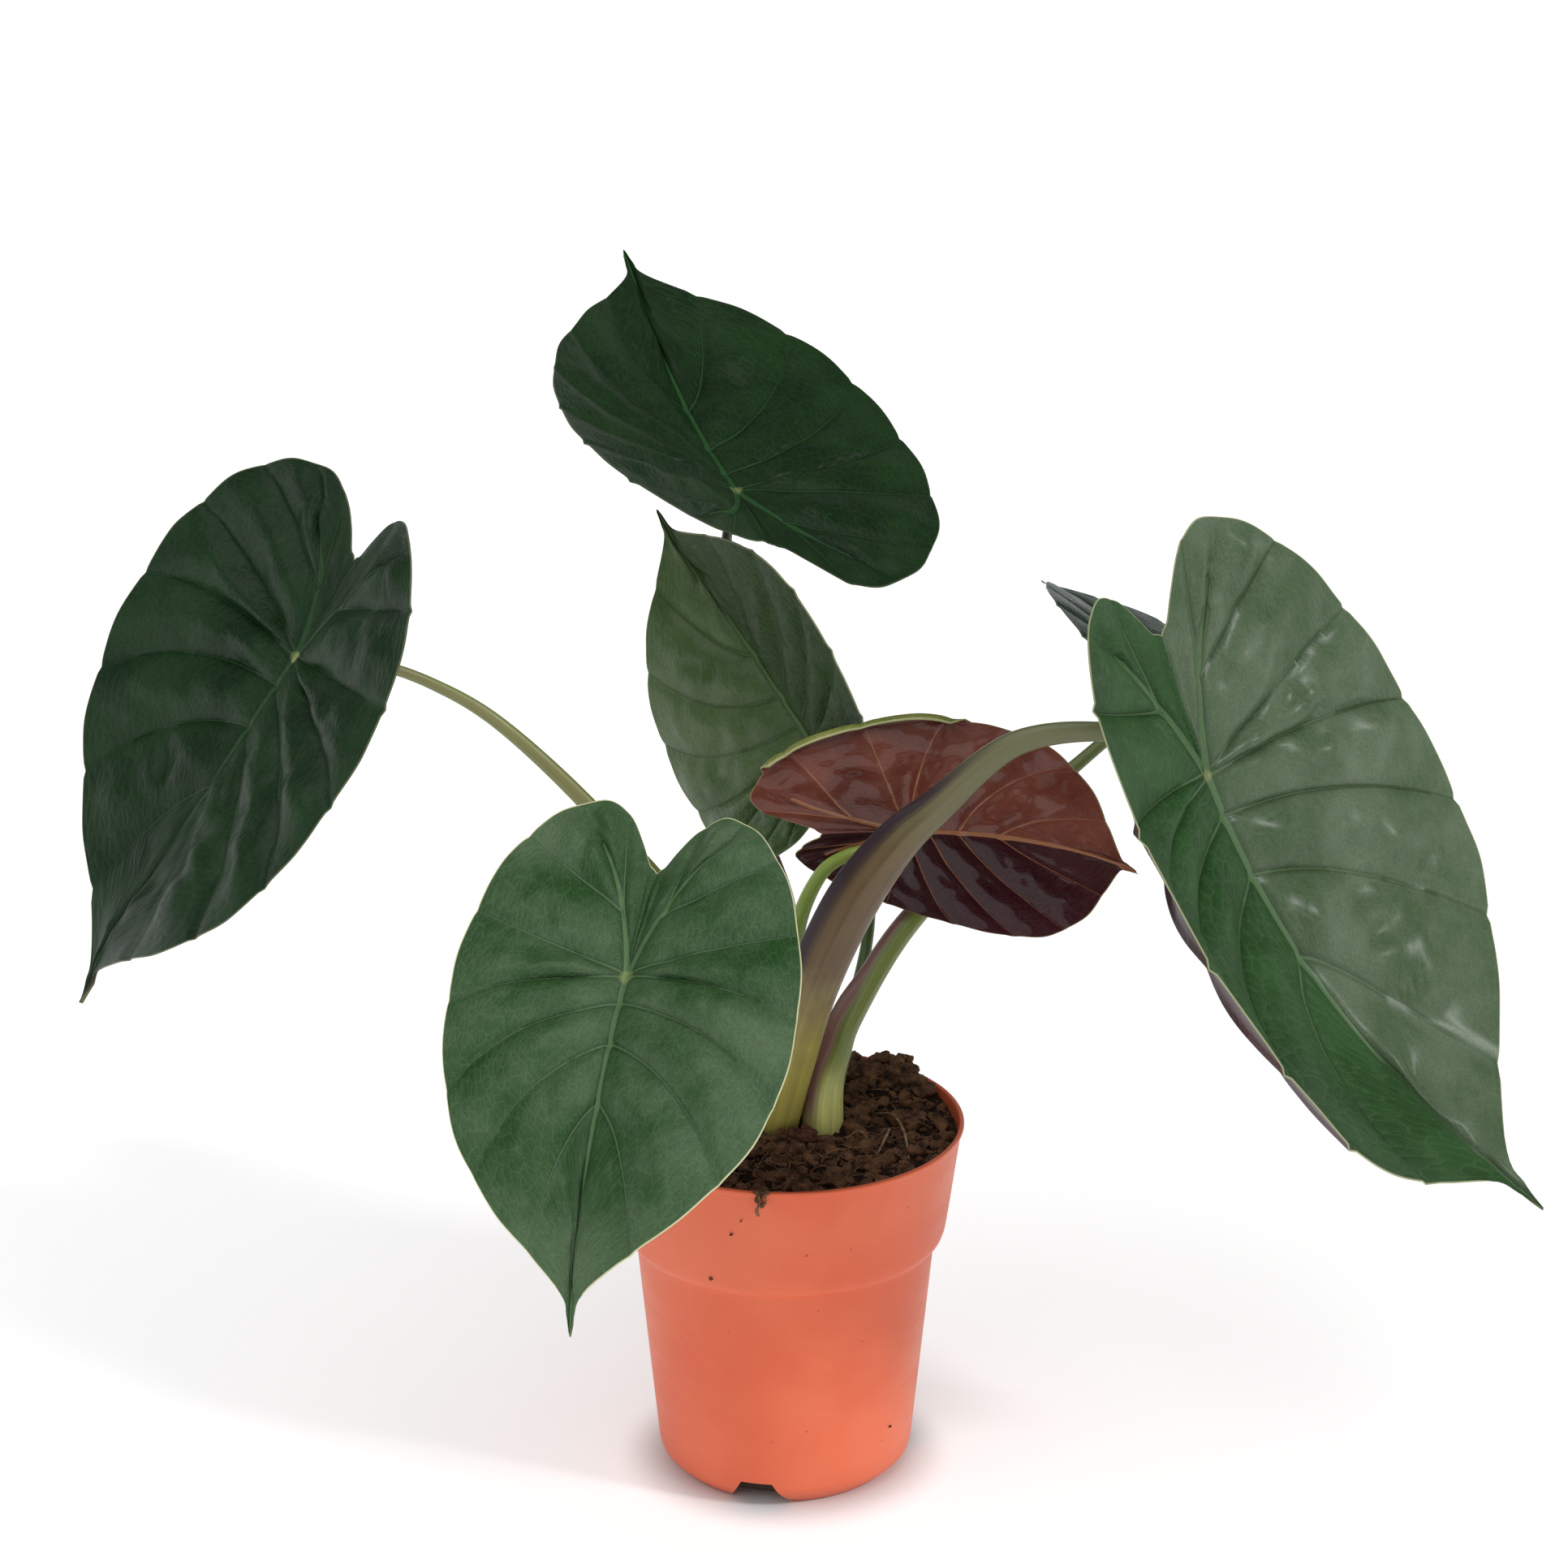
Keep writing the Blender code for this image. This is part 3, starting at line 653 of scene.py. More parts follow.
def flat_table():
    """Per (row, column): flat point, then distances to rib, vein, margin and hub."""
    rows = (len(VEINS) - 1) * ROWS_PER_VEIN
    shares = [column / COLUMNS for column in range(COLUMNS + 1)]
    veins = [[flat_point(vein, share) for share in shares[::4]] for vein in range(len(VEINS))]
    lobe_rib = [on_midrib(-step / 8) for step in range(9)]
    midrib = [Vector((0, 1)), Vector((0, 0))]
    table = {}
    for row in range(rows + 1):
        turn = row / ROWS_PER_VEIN
        low = min(int(turn), len(VEINS) - 2)
        margin = flat_point(turn, 1.0)
        for column, share in enumerate(shares):
            point = flat_point(turn, share)
            to_rib = min(gap_to_line(point, midrib), gap_to_line(point, lobe_rib))
            beside = [n for n in (low, low + 1) if n not in NO_VEIN_ROWS]
            to_vein = min([gap_to_line(point, veins[n]) for n in beside] or [FAR])
            table[row, column] = (point, to_rib, to_vein, (margin - point).length, point.length)
    return table


FLAT = flat_table()
RIB_WIDTH = (0.0095, 0.0034)
VEIN_WIDTH = (0.0044, 0.0013)
EDGE_WIDTH = 0.0005
HUB_WIDTH = 0.0034
# Depth and width of the grooves over the midrib and the veins of a blade of GROOVED length.
RIB_GROOVE = (0.0012, 0.0026)
VEIN_GROOVE = (0.0013, 0.0021)
GROOVED = 0.2
TRAITS = ("rib", "vein", "edge", "hub", "relief")


def rolled_point(leaf, place, roll, turn, share):
    """Point of a half whose margin rolls over from share start, for rows inside the roll."""
    side, first, last, start, width, angle = roll
    full = min(1.0, 3 * math.sin(math.pi * (turn - first) / (last - first)))
    fold_at = start + full * (1 - start)
    if share <= start:
        return blade_point(leaf, place, side, flat_point(turn, share * fold_at / start))
    base = blade_point(leaf, place, side, flat_point(turn, fold_at))
    inner = blade_point(leaf, place, side, flat_point(turn, fold_at - 0.03))
    end = blade_point(leaf, place, side, flat_point(turn, 1.0))
    outward = (base - inner).normalized()
    up = place.col[2].xyz
    up = (up - outward * up.dot(outward)).normalized()
    reach = (end - base).length + full * width
    travel = reach * (share - start) / (1 - start)
    along, across = arc(travel, math.radians(angle) * full / reach)
    return base + outward * along + up * across


def relief_at(relief, length, side, seed, turn, share, spot):
    """How far the blade's surface stands off its smooth shape at one spot."""
    flat, to_rib, to_vein, _, to_hub = spot
    between = abs(math.sin(math.pi * turn))
    away = ease(to_hub * length, 0.004, 0.024) * (1 - 0.75 * ease(turn, 7.1, 7.9))
    body = ease(share, 0.0, 0.25) * (1 - 0.85 * ease(share, 0.70, 1.0)) * away
    where = Vector((side * flat.x * 1.6 + seed, flat.y * 1.6, seed))
    lumps = noise.noise(where * 5.5) + 0.6 * noise.noise(where * 11.0)
    height = relief["quilt"] * (between ** 1.3 - 0.45) * body
    pucker = relief["pucker"][0 if side > 0 else 1]
    height += pucker * lumps * body * (0.35 + 0.65 * between)
    strip = math.exp(-(((share - 0.50) / 0.10) ** 2))
    dent = strip * max(0.0, noise.noise(where * 8.0 + Vector((3, 1, 2))) + 0.25)
    height -= 1.6 * pucker * dent * body * between
    depth, width = RIB_GROOVE
    height -= depth * math.exp(-((to_rib * length / width) ** 2)) * (length / GROOVED)
    depth, width = VEIN_GROOVE
    groove = depth * math.exp(-((to_vein * length / width) ** 2)) * (length / GROOVED)
    return height - groove * (0.2 + 0.8 * away)


def blade_half(name, leaf, place, relief, side, seed):
    rows = (len(VEINS) - 1) * ROWS_PER_VEIN
    length = leaf["length"]
    half = grid(f"half_{name}", COLUMNS, rows)
    mesh = half.data
    spots = []
    for vertex in mesh.vertices:
        column = round((vertex.co.x + 0.5) * COLUMNS)
        row = round((vertex.co.y + 0.5) * rows)
        spots.append((row, column))
    body_group = half.vertex_groups.new(name="body")
    for index, spot in enumerate(spots):
        weight = 1 - 0.8 * ease(FLAT[spot][0].y, 0.92, 0.99)
        body_group.add([index], weight, "REPLACE")
    for key in TRAITS:
        mesh.attributes.new(key, "FLOAT", "POINT")
    traits = {key: mesh.attributes[key] for key in TRAITS}
    roll = relief["roll"] if relief["roll"] and relief["roll"][0] == side else None
    for index, (row, column) in enumerate(spots):
        flat, to_rib, to_vein, to_edge, to_hub = FLAT[row, column]
        turn, share = row / ROWS_PER_VEIN, column / COLUMNS
        between = abs(math.sin(math.pi * turn))
        ruffle = relief["wave"] / length * (between * between - 0.5) * share**4
        spread = flat * (1 + ruffle / max(flat.length, 0.2))
        point = blade_point(leaf, place, side, spread)
        if roll and roll[1] < turn < roll[2]:
            point = rolled_point(leaf, place, roll, turn, share)
        vertex = mesh.vertices[index]
        vertex.co = point
        ribs = RIB_WIDTH[1] + (RIB_WIDTH[0] - RIB_WIDTH[1]) * max(0.0, 1 - to_hub * 1.1) ** 1.5
        veins = VEIN_WIDTH[1] + (VEIN_WIDTH[0] - VEIN_WIDTH[1]) * (1 - share) ** 1.3
        traits["rib"].data[index].value = to_rib / ribs
        traits["vein"].data[index].value = to_vein / veins
        tip = ease(flat.y, 0.86, 0.93)
        traits["edge"].data[index].value = to_edge * length / EDGE_WIDTH + 3 * tip
        traits["hub"].data[index].value = to_hub * length / HUB_WIDTH
        height = relief_at(relief, length, side, seed, turn, share, FLAT[row, column])
        traits["relief"].data[index].value = height
    uv = mesh.uv_layers[0]
    uv.name = "blade_place"
    for loop in mesh.loops:
        row, column = spots[loop.vertex_index]
        uv.data[loop.index].uv = (row / ROWS_PER_VEIN + (0 if side > 0 else 20), column / COLUMNS)
    if side > 0:
        edit_all(half)
        bpy.ops.mesh.flip_normals()
        bpy.ops.object.mode_set(mode="OBJECT")
    return half


def make_blade(name, number, upper, under):
    leaf = LEAVES[name]
    relief = RELIEF[name]
    place = leaf_frame(leaf)
    right = blade_half(name, leaf, place, relief, 1, number * 7.3)
    left = blade_half(name, leaf, place, relief, -1, number * 7.3)
    only(right)
    left.select_set(True)
    bpy.ops.object.join()
    blade = right
    blade.name = blade.data.name = f"leaf_{name}"
    edit_all(blade)
    bpy.ops.mesh.remove_doubles(threshold=0.00002)
    bpy.ops.mesh.dissolve_degenerate(threshold=0.00001)
    bpy.ops.object.mode_set(mode="OBJECT")
    mesh = blade.data
    heights = [spot.value for spot in mesh.attributes["relief"].data]
    moved = [v.co + v.normal * h for v, h in zip(mesh.vertices, heights)]
    for vertex, point in zip(mesh.vertices, moved):
        vertex.co = point
    mesh.attributes.remove(mesh.attributes["relief"])
    mesh.materials.append(upper)
    mesh.materials.append(under)
    skin = blade.modifiers.new("thickness", "SOLIDIFY")
    skin.thickness = BLADE_THICKNESS
    skin.offset = 0
    skin.material_offset = 1
    skin.material_offset_rim = 0
    skin.vertex_group = "body"
    apply_all(blade)
    blade.vertex_groups.clear()
    smooth(blade, 60)
    hand_over(blade, "young_blade" if name == "young" else "mature_blade", f"blade_{name}")
    return blade


UNDER_MATURE = under_face("mature", (46, 28, 36), (70, 44, 50), (104, 108, 74),
                          ((46, 28, 36), (70, 44, 50)), 0.40, 0.05)
# The darker purple of the young underside's left half is painted shade, against its lit right half.
UNDER_YOUNG = under_face("young", (84, 36, 27), (114, 60, 44), (158, 106, 72),
                         ((40, 12, 19), (54, 18, 26)), 0.34, 0.32, 0.05, 0.07)
UPPER = {
    "left": upper_face("left", (12, 36, 13), (26, 52, 26), (42, 74, 40), margin=0.15,
                       sheen=(0.10, 0.14), roughness=0.38),
    "top": upper_face("top", (11, 35, 11), (25, 50, 20), (42, 82, 42), margin=0.08,
                      sheen=(0.06, 0.12)),
    "rear": upper_face("rear", (28, 52, 14), (40, 64, 22), (72, 100, 52),
                       ((58, 82, 44), (80, 100, 64)), margin=0.3, sheen=(0.08, 0.25),
                       blemish=(((-0.047, 0.135, 0.418), 0.004, (140, 130, 60)),)),
    "young": upper_face("young", (98, 108, 46), (130, 134, 74), (150, 152, 100), margin=0.4),
    # The front blade's broad pale patches are partly a painted sheen and partly the tissue's own
    # mottling.
    "front": upper_face("front", (34, 68, 29), (76, 99, 69), (92, 124, 82), margin=0.9,
                        sheen=(0.2, 0.2), patch=16.0),
    "rear_right": upper_face("rear_right", (12, 32, 22), (26, 46, 34), (56, 76, 58), margin=0.1),
    # The paler colours on the right blade's left half are a painted sheen.
    "right": upper_face("right", (30, 62, 24), (46, 80, 40), (84, 112, 74),
                        ((64, 84, 56), (88, 103, 80)), margin=0.45, sheen=(0.02, 0.20),
                        roughness=0.42, patch=22.0),
}
for count, blade_name in enumerate(LEAVES):
    make_blade(blade_name, count + 1, UPPER[blade_name],
               UNDER_YOUNG if blade_name == "young" else UNDER_MATURE)


# ---------------------------------------------------------------- stems


def stem_group():
    """Colour of a petiole from its base to its blade, with streaks and a purple flush."""
    tree, given, result = group(
        "stem_skin",
        (("Base", "Color"), ("Middle", "Color"), ("Top", "Color"), ("Flush", "Color"),
         ("Flush at", "Float"), ("Flush width", "Float"), ("Flush from", "Float"),
         ("Flush to", "Float")),
        (("Color", "Color"), ("Roughness", "Float"), ("Height", "Float")),
    )
    around = add(tree, "UVMap", {"uv_map": "UVMap"}).outputs[0]
    split = add(tree, "SeparateXYZ", None, Vector=around).outputs
    where = add(tree, "TexCoord").outputs["Object"]
    streaks = speckle(tree, stretched(tree, around, (34.0, 3.0, 1.0)), 1.0, 4.0, 0.6)
    patches = speckle(tree, where, 90.0, 4.0, 0.65)
    lower = fade(tree, sums(tree, "MULTIPLY_ADD", patches, 0.08, split[1]), 0.06, 0.30)
    colour = blend_of(tree, lower, given["Base"], given["Middle"])
    higher = fade(tree, sums(tree, "MULTIPLY_ADD", patches, 0.08, split[1]), 0.38, 0.80)
    colour = blend_of(tree, higher, colour, given["Top"])
    shift = sums(tree, "SUBTRACT", split[0], given["Flush at"])
    shift = sums(tree, "SUBTRACT", sums(tree, "FRACT", sums(tree, "ADD", shift, 1.5)), 0.5)
    near = sums(tree, "ABSOLUTE", shift)
    near = sums(tree, "MULTIPLY_ADD", streaks, 0.05, near)
    inner = sums(tree, "MULTIPLY", given["Flush width"], 0.55)
    side = fade(tree, near, inner, given["Flush width"], 1.0, 0.0)
    begin = fade(tree, sums(tree, "SUBTRACT", split[1], given["Flush from"]), -0.06, 0.10)
    stop = sums(tree, "SUBTRACT", split[1], given["Flush to"])
    stop = fade(tree, stop, -0.06, 0.06, 1.0, 0.0)
    flush = sums(tree, "MULTIPLY", sums(tree, "MULTIPLY", side, begin), stop)
    colour = blend_of(tree, flush, colour, given["Flush"])
    shade = fade(tree, streaks, 0.25, 0.75, 0.82, 1.16)
    colour = blend_of(tree, 1.0, colour, grey_of(tree, shade), "MULTIPLY")
    tree.links.new(colour, result["Color"])
    tree.links.new(fade(tree, patches, 0.3, 0.7, 0.34, 0.50), result["Roughness"])
    height = sums(tree, "MULTIPLY_ADD", streaks, 0.8, sums(tree, "MULTIPLY", patches, 0.3))
    tree.links.new(height, result["Height"])
    return tree


STEM_SKIN = stem_group()


def stem_finish(name, base, middle, top, flush, at, width, start, end):
    made, tree, shader = finish_of(f"stem_{name}", 0.42, coat=0.15, coat_roughness=0.3)
    skin = place_group(
        tree, STEM_SKIN, Base=tone(*base), Middle=tone(*middle), Top=tone(*top),
        Flush=tone(*flush), Flush_at=at, Flush_width=width, Flush_from=start, Flush_to=end,
    )
    feed(tree, shader, Base_Color=skin["Color"], Roughness=skin["Roughness"])
    relief_to(tree, shader, skin["Height"], 0.35, 0.0006)
    return made


# Each stem: colours of its base, middle, top and flush, then where round the stem the flush
# lies, its width, and its start and end along the stem.
STEMS = {
    "left": ((150, 150, 70), (120, 124, 66), (126, 132, 74), (118, 116, 66), 0.30, 0.12, 0.05, 0.9),
    "top": ((140, 130, 70), (92, 56, 44), (78, 84, 50), (80, 46, 40), 0.40, 0.30, 0.05, 0.7),
    "rear": ((110, 122, 56), (66, 88, 36), (60, 84, 34), (52, 70, 30), 0.75, 0.2, 0.0, 0.9),
    "young": ((140, 150, 56), (118, 144, 46), (138, 158, 66), (100, 126, 44), 0.55, 0.2, 0.0, 1.0),
    "front": ((168, 164, 80), (120, 126, 60), (110, 122, 60), (112, 90, 56), 0.50, 0.2, 0.0, 0.8),
    "rear_right": ((206, 208, 120), (112, 124, 60), (100, 118, 56), (118, 82, 74),
                   0.08, 0.17, 0.0, 0.5),
    "right": ((186, 176, 88), (98, 76, 44), (102, 108, 66), (40, 20, 28), 0.0, 0.21, 0.12, 0.60),
}


def make_stem(name):
    leaf = LEAVES[name]
    place = leaf_frame(leaf)
    up = place.col[2].xyz
    end = place.translation - up * (CAD_THICKNESS / 2 + STEM_GAP)
    stub = end - up * STEM_STUB
    fall = max(0.0, *(-math.radians(fold) for fold in leaf["fold"]))
    end -= up * STEM_END * math.tan(fall)
    end += up * STEM_JOINED
    base = SOIL_LEVEL + CLEARANCE
    route = [(x, y, base + h, r) for x, y, h, r in PETIOLES[name]]
    route[0] = (*route[0][:2], base - STEM_ROOTED, route[0][3])
    route += [(*stub, STEM_END), (*end, STEM_END * STEM_FLARE)]
    sheath = SHEATHS.get(name, {})
    flat, wing = sheath.get("flat", 1.0), sheath.get("wing")
    stem = swept(f"stem_{name}", route, STEM_SIDES, STEM_STEPS, flat, wing)
    stem.data.materials.append(stem_finish(name, *STEMS[name]))
    slot = "brown_stem" if name in ("right", "rear_right") else "green_stem"
    hand_over(stem, slot, f"petiole_{name}")


for stem_name in PETIOLES:
    make_stem(stem_name)


# ---------------------------------------------------------------- pot


def pot_finish():
    made, tree, shader = finish_of("terracotta_plastic", 0.42, coat=0.0, specular=0.45)
    where = add(tree, "TexCoord").outputs["Object"]
    cloud = speckle(tree, where, 14.0, 3.0, 0.5)
    scuff = speckle(tree, stretched(tree, where, (30.0, 30.0, 130.0)), 1.0, 5.0, 0.7)
    grain = speckle(tree, where, 1500.0, 2.0, 0.6)
    colour = blend_of(tree, fade(tree, cloud, 0.3, 0.7), tone(214, 92, 54), tone(222, 107, 69))
    colour = blend_of(tree, fade(tree, scuff, 0.60, 0.78, 0.0, 0.22), colour, tone(232, 140, 108))
    dots = add(tree, "TexVoronoi", None, Vector=where, Scale=190.0)
    size = fade(tree, dots.outputs["Distance"], 0.05, 0.16, 1.0, 0.0)
    chosen = fade(tree, sums(tree, "ADD", dots.outputs["Color"], 0.0), 0.80, 0.84)
    dirt = sums(tree, "MULTIPLY", sums(tree, "MULTIPLY", size, chosen), 0.55)
    colour = blend_of(tree, dirt, colour, tone(120, 62, 44))
    height = add(tree, "SeparateXYZ", None, Vector=where).outputs["Z"]
    foot = sums(tree, "MULTIPLY_ADD", scuff, 0.02, height)
    colour = blend_of(tree, fade(tree, foot, 0.012, 0.030, 0.16, 0.0), colour, tone(170, 92, 70))
    gloss = fade(tree, scuff, 0.3, 0.75, 0.38, 0.50)
    feed(tree, shader, Base_Color=colour, Roughness=gloss)
    relief = sums(tree, "MULTIPLY_ADD", grain, 0.5, sums(tree, "MULTIPLY", scuff, 0.4))
    relief_to(tree, shader, relief, 0.25, 0.0003)
    return made


POT_PROFILE = (
    (0.0005, 0.0), (0.0214, 0.0), (0.0220, 0.0006), (0.0236, 0.0043), (0.0246, 0.0047),
    (0.0464, 0.0047), (0.0474, 0.0042), (0.0482, 0.0006), (0.0488, 0.0), (0.0518, 0.0),
    (0.0524, 0.0004), (0.0580, 0.0056), (0.0600, 0.0082), (0.0609, 0.0108), (0.0614, 0.0145),
    (0.0640, 0.0405), (0.0690, 0.0912), (0.0712, 0.1142), (0.0714, 0.1160), (0.0717, 0.1167),
    (0.0724, 0.1170), (0.0742, 0.1184), (0.0756, 0.1204), (0.0766, 0.1232), (0.0773, 0.1272),
    (0.0786, 0.1360), (0.0836, 0.1722), (0.0840, 0.1736), (0.0847, 0.1741), (0.0850, 0.1748),
    (0.0850, 0.1757), (0.0847, 0.1762), (0.0840, 0.1764), (0.0832, 0.1763), (0.0828, 0.1758),
    (0.0824, 0.1730), (0.0760, 0.1250), (0.0748, 0.1200), (0.0704, 0.1150), (0.0600, 0.0120),
    (0.0556, 0.0064), (0.0005, 0.0060),
)
POT_SIDES = 192
NOTCH_FIRST = math.radians(-103)
NOTCH_COUNT = 3
NOTCH_AT = (0.0545, 0, 0.00575)
NOTCH_SIZE = (0.0331, 0.032, 0.0155)
NOTCH_TOP_SHARE = 0.47


def notch_cutter(number):
    """Wedge through the foot, narrower at its top."""
    cutter = fresh(bpy.ops.mesh.primitive_cube_add, "notch_cutter", size=1, location=NOTCH_AT)
    cutter.scale = NOTCH_SIZE
    settle(cutter)
    for vertex in cutter.data.vertices:
        if vertex.co.z > 0:
            vertex.co.y *= NOTCH_TOP_SHARE
    cutter.rotation_euler.z = NOTCH_FIRST + 2 * math.pi * number / NOTCH_COUNT
    settle(cutter)
    return cutter


def make_pot():
    pot = turned("terracotta_pot", POT_PROFILE, POT_SIDES)
    for number in range(NOTCH_COUNT):
        cutter = notch_cutter(number)
        cut = pot.modifiers.new("notch", "BOOLEAN")
        cut.operation = "DIFFERENCE"
        cut.solver = "EXACT"
        cut.object = cutter
        apply_all(pot)
        bpy.data.objects.remove(cutter)
    smooth(pot, 28)
    pot.data.materials.append(pot_finish())
    hand_over(pot, "terracotta_plastic", "nursery_pot")


make_pot()


# ---------------------------------------------------------------- soil


def peat_finish(name, deep, warm, pale, pale_share):
    made, tree, shader = finish_of(name, 0.92, specular=0.25)
    where = add(tree, "TexCoord").outputs["Object"]
    clods = speckle(tree, where, 130.0, 6.0, 0.75)
    strands = speckle(tree, stretched(tree, where, (900.0, 260.0, 500.0)), 1.0, 5.0, 0.7)
    colour = blend_of(tree, fade(tree, clods, 0.32, 0.66), tone(*deep), tone(*warm))
    colour = blend_of(tree, fade(tree, strands, 0.62, 0.78, 0.0, pale_share), colour, tone(*pale))
    feed(tree, shader, Base_Color=colour)
    relief_to(tree, shader, sums(tree, "ADD", clods, strands), 0.9, 0.0015)
    return made


# The bed is darker than the crumbs on it: the peat's own brown, darkened to near black as painted
# shade in the gaps between clods.
SHADED_PEAT_BED = peat_finish("peat_bed_painted_shade", (22, 14, 10), (62, 43, 31), (104, 78, 56), 0.5)
PEAT = peat_finish("damp_peat", (46, 30, 21), (128, 92, 64), (172, 136, 102), 0.8)
FIBRE = peat_finish("peat_fibre", (92, 64, 44), (156, 120, 86), (186, 156, 118), 0.6)
RED_PEAT = peat_finish("red_peat", (62, 36, 26), (104, 66, 48), (132, 92, 66), 0.4)

CLOD_HEIGHT = 0.0034
GRIT_HEIGHT = 0.0024
SOIL_SUNK = 0.0004
SOIL_SIDE = ((0.0005, 0.0066), (0.0545, 0.0066), (0.0592, 0.0126), (0.0697, 0.1160),
             (0.0752, 0.1250), (0.0806, 0.1660))
SOIL_SIDES = 260
SOIL_RINGS = 84
SOIL_SHIFT = 0.0008
SHIFTED_WITHIN = 0.079
CRUMB_SHAPES = 6
FIBRE_SHAPES = 7
LUMP_AT = (0.008, -0.022)


def soil_rest(x, y):
    """Smooth top of the soil, as the fixed frame has it."""
    radius = math.hypot(x, y)
    outward = ease(radius, CROWN_RADIUS, SOIL_EDGE)
    away = math.hypot(x - MOUND_AT[0], y - MOUND_AT[1]) / MOUND_SPREAD
    mound = MOUND_RISE * math.exp(-away * away) * min(1.0, 4 * outward)
    return SOIL_LEVEL - EDGE_DROP * outward + mound


def soil_top(x, y):
    """Top of the soil with clods, crumbs and the low edge along the wall."""
    radius = math.hypot(x, y)
    inside = 1 - 0.75 * ease(radius, 0.070, SOIL_EDGE)
    spot = Vector((x, y, 0.0))
    clods = noise.fractal(spot * 95, 0.9, 2.1, 3)
    crumbs = noise.turbulence(spot * 420, 3, False)
    rise = CLOD_HEIGHT * clods + GRIT_HEIGHT * (crumbs - 0.55)
    return soil_rest(x, y) + inside * rise - SOIL_SUNK


def make_soil():
    edge = SOIL_EDGE - SOIL_SUNK
    top = [(edge * (SOIL_RINGS - ring) / SOIL_RINGS, SOIL_LEVEL) for ring in range(SOIL_RINGS)]
    soil = turned("peat_soil", [*SOIL_SIDE, *top], SOIL_SIDES)
    for vertex in soil.data.vertices:
        if vertex.co.z > SOIL_LEVEL - 0.0001:
            vertex.co.z = soil_top(vertex.co.x, vertex.co.y)
            spot = vertex.co * 300
            shift = SOIL_SHIFT * noise.noise(spot)
            vertex.co.x += shift * (vertex.co.xy.length < SHIFTED_WITHIN)
            shift = SOIL_SHIFT * noise.noise(spot + Vector((9, 3, 5)))
            vertex.co.y += shift * (vertex.co.xy.length < SHIFTED_WITHIN)
    smooth(soil, 60)
    soil.data.materials.append(SHADED_PEAT_BED)
    hand_over(soil, "peat", "potting_soil")


def joined(name, models, places, finish, slot):
    """One piece from many turned and scaled copies of a few models."""
    points = []
    faces = []
    for which, matrix in places:
        model = models[which].data
        start = len(points)
        points += [matrix @ vertex.co for vertex in model.vertices]
        faces += [[start + corner for corner in face.vertices] for face in model.polygons]
    mesh = bpy.data.meshes.new(name)
    mesh.from_pydata(points, [], faces)
    mesh.materials.append(finish)
    piece = bpy.data.objects.new(name, mesh)
    bpy.context.scene.collection.objects.link(piece)
    smooth(piece, 50)
    hand_over(piece, slot)
    return piece


def crumb_models(rng):
    models = []
    add_ball = bpy.ops.mesh.primitive_ico_sphere_add
    for number in range(CRUMB_SHAPES):
        model = fresh(add_ball, f"crumb_{number}", subdivisions=2, radius=1)
        for vertex in model.data.vertices:
            spot = vertex.co * 1.3 + Vector((number * 5.1, 0, 0))
            vertex.co *= 1 + 0.55 * noise.noise(spot) + 0.25 * noise.noise(spot * 2.7)
            vertex.co.z *= rng.uniform(0.55, 0.8)
        models.append(model)
    return models


def fibre_models(rng):
    models = []
    for number in range(FIBRE_SHAPES):
        heading = rng.uniform(0, 6.28)
        spot = Vector((0, 0, 0))
        route = []
        for step in range(6):
            route.append((*spot, 0.030 * (1 - 0.12 * step)))
            heading += rng.uniform(-0.9, 0.9)
            rise = rng.uniform(-0.25, 0.35)
            spot = spot + Vector((math.cos(heading), math.sin(heading), rise)) * 0.2
        models.append(swept(f"fibre_{number}", route, 5, 2))
    return models


def turned_copy(rng, place, size):
    matrix = Matrix.Translation(place) @ Matrix.Rotation(rng.uniform(0, 6.28), 4, "Z")
    matrix = matrix @ Matrix.Rotation(rng.uniform(-0.5, 0.5), 4, "X")
    return matrix @ Matrix.Scale(size, 4)


def clear_of_stems(x, y, room):
    return all(
        math.hypot(x - route[0][0], y - route[0][1]) > route[0][3] + room
        for route in PETIOLES.values()
    )


def scatter(rng, count, smallest, largest, room, lift, most=0.0795):
    places = []
    while len(places) < count:
        radius = most * math.sqrt(rng.random())
        angle = rng.uniform(0, 2 * math.pi)
        x, y = radius * math.cos(angle), radius * math.sin(angle)
        size = smallest + (largest - smallest) * rng.random() ** 3
        if radius + size > 0.0815 or not clear_of_stems(x, y, room + size * 0.5):
            continue
        places.append((x, y, soil_top(x, y) + lift * size, size))
    return places


def one_of(rng, shapes, place, size):
    return rng.randrange(shapes), turned_copy(rng, place, size)


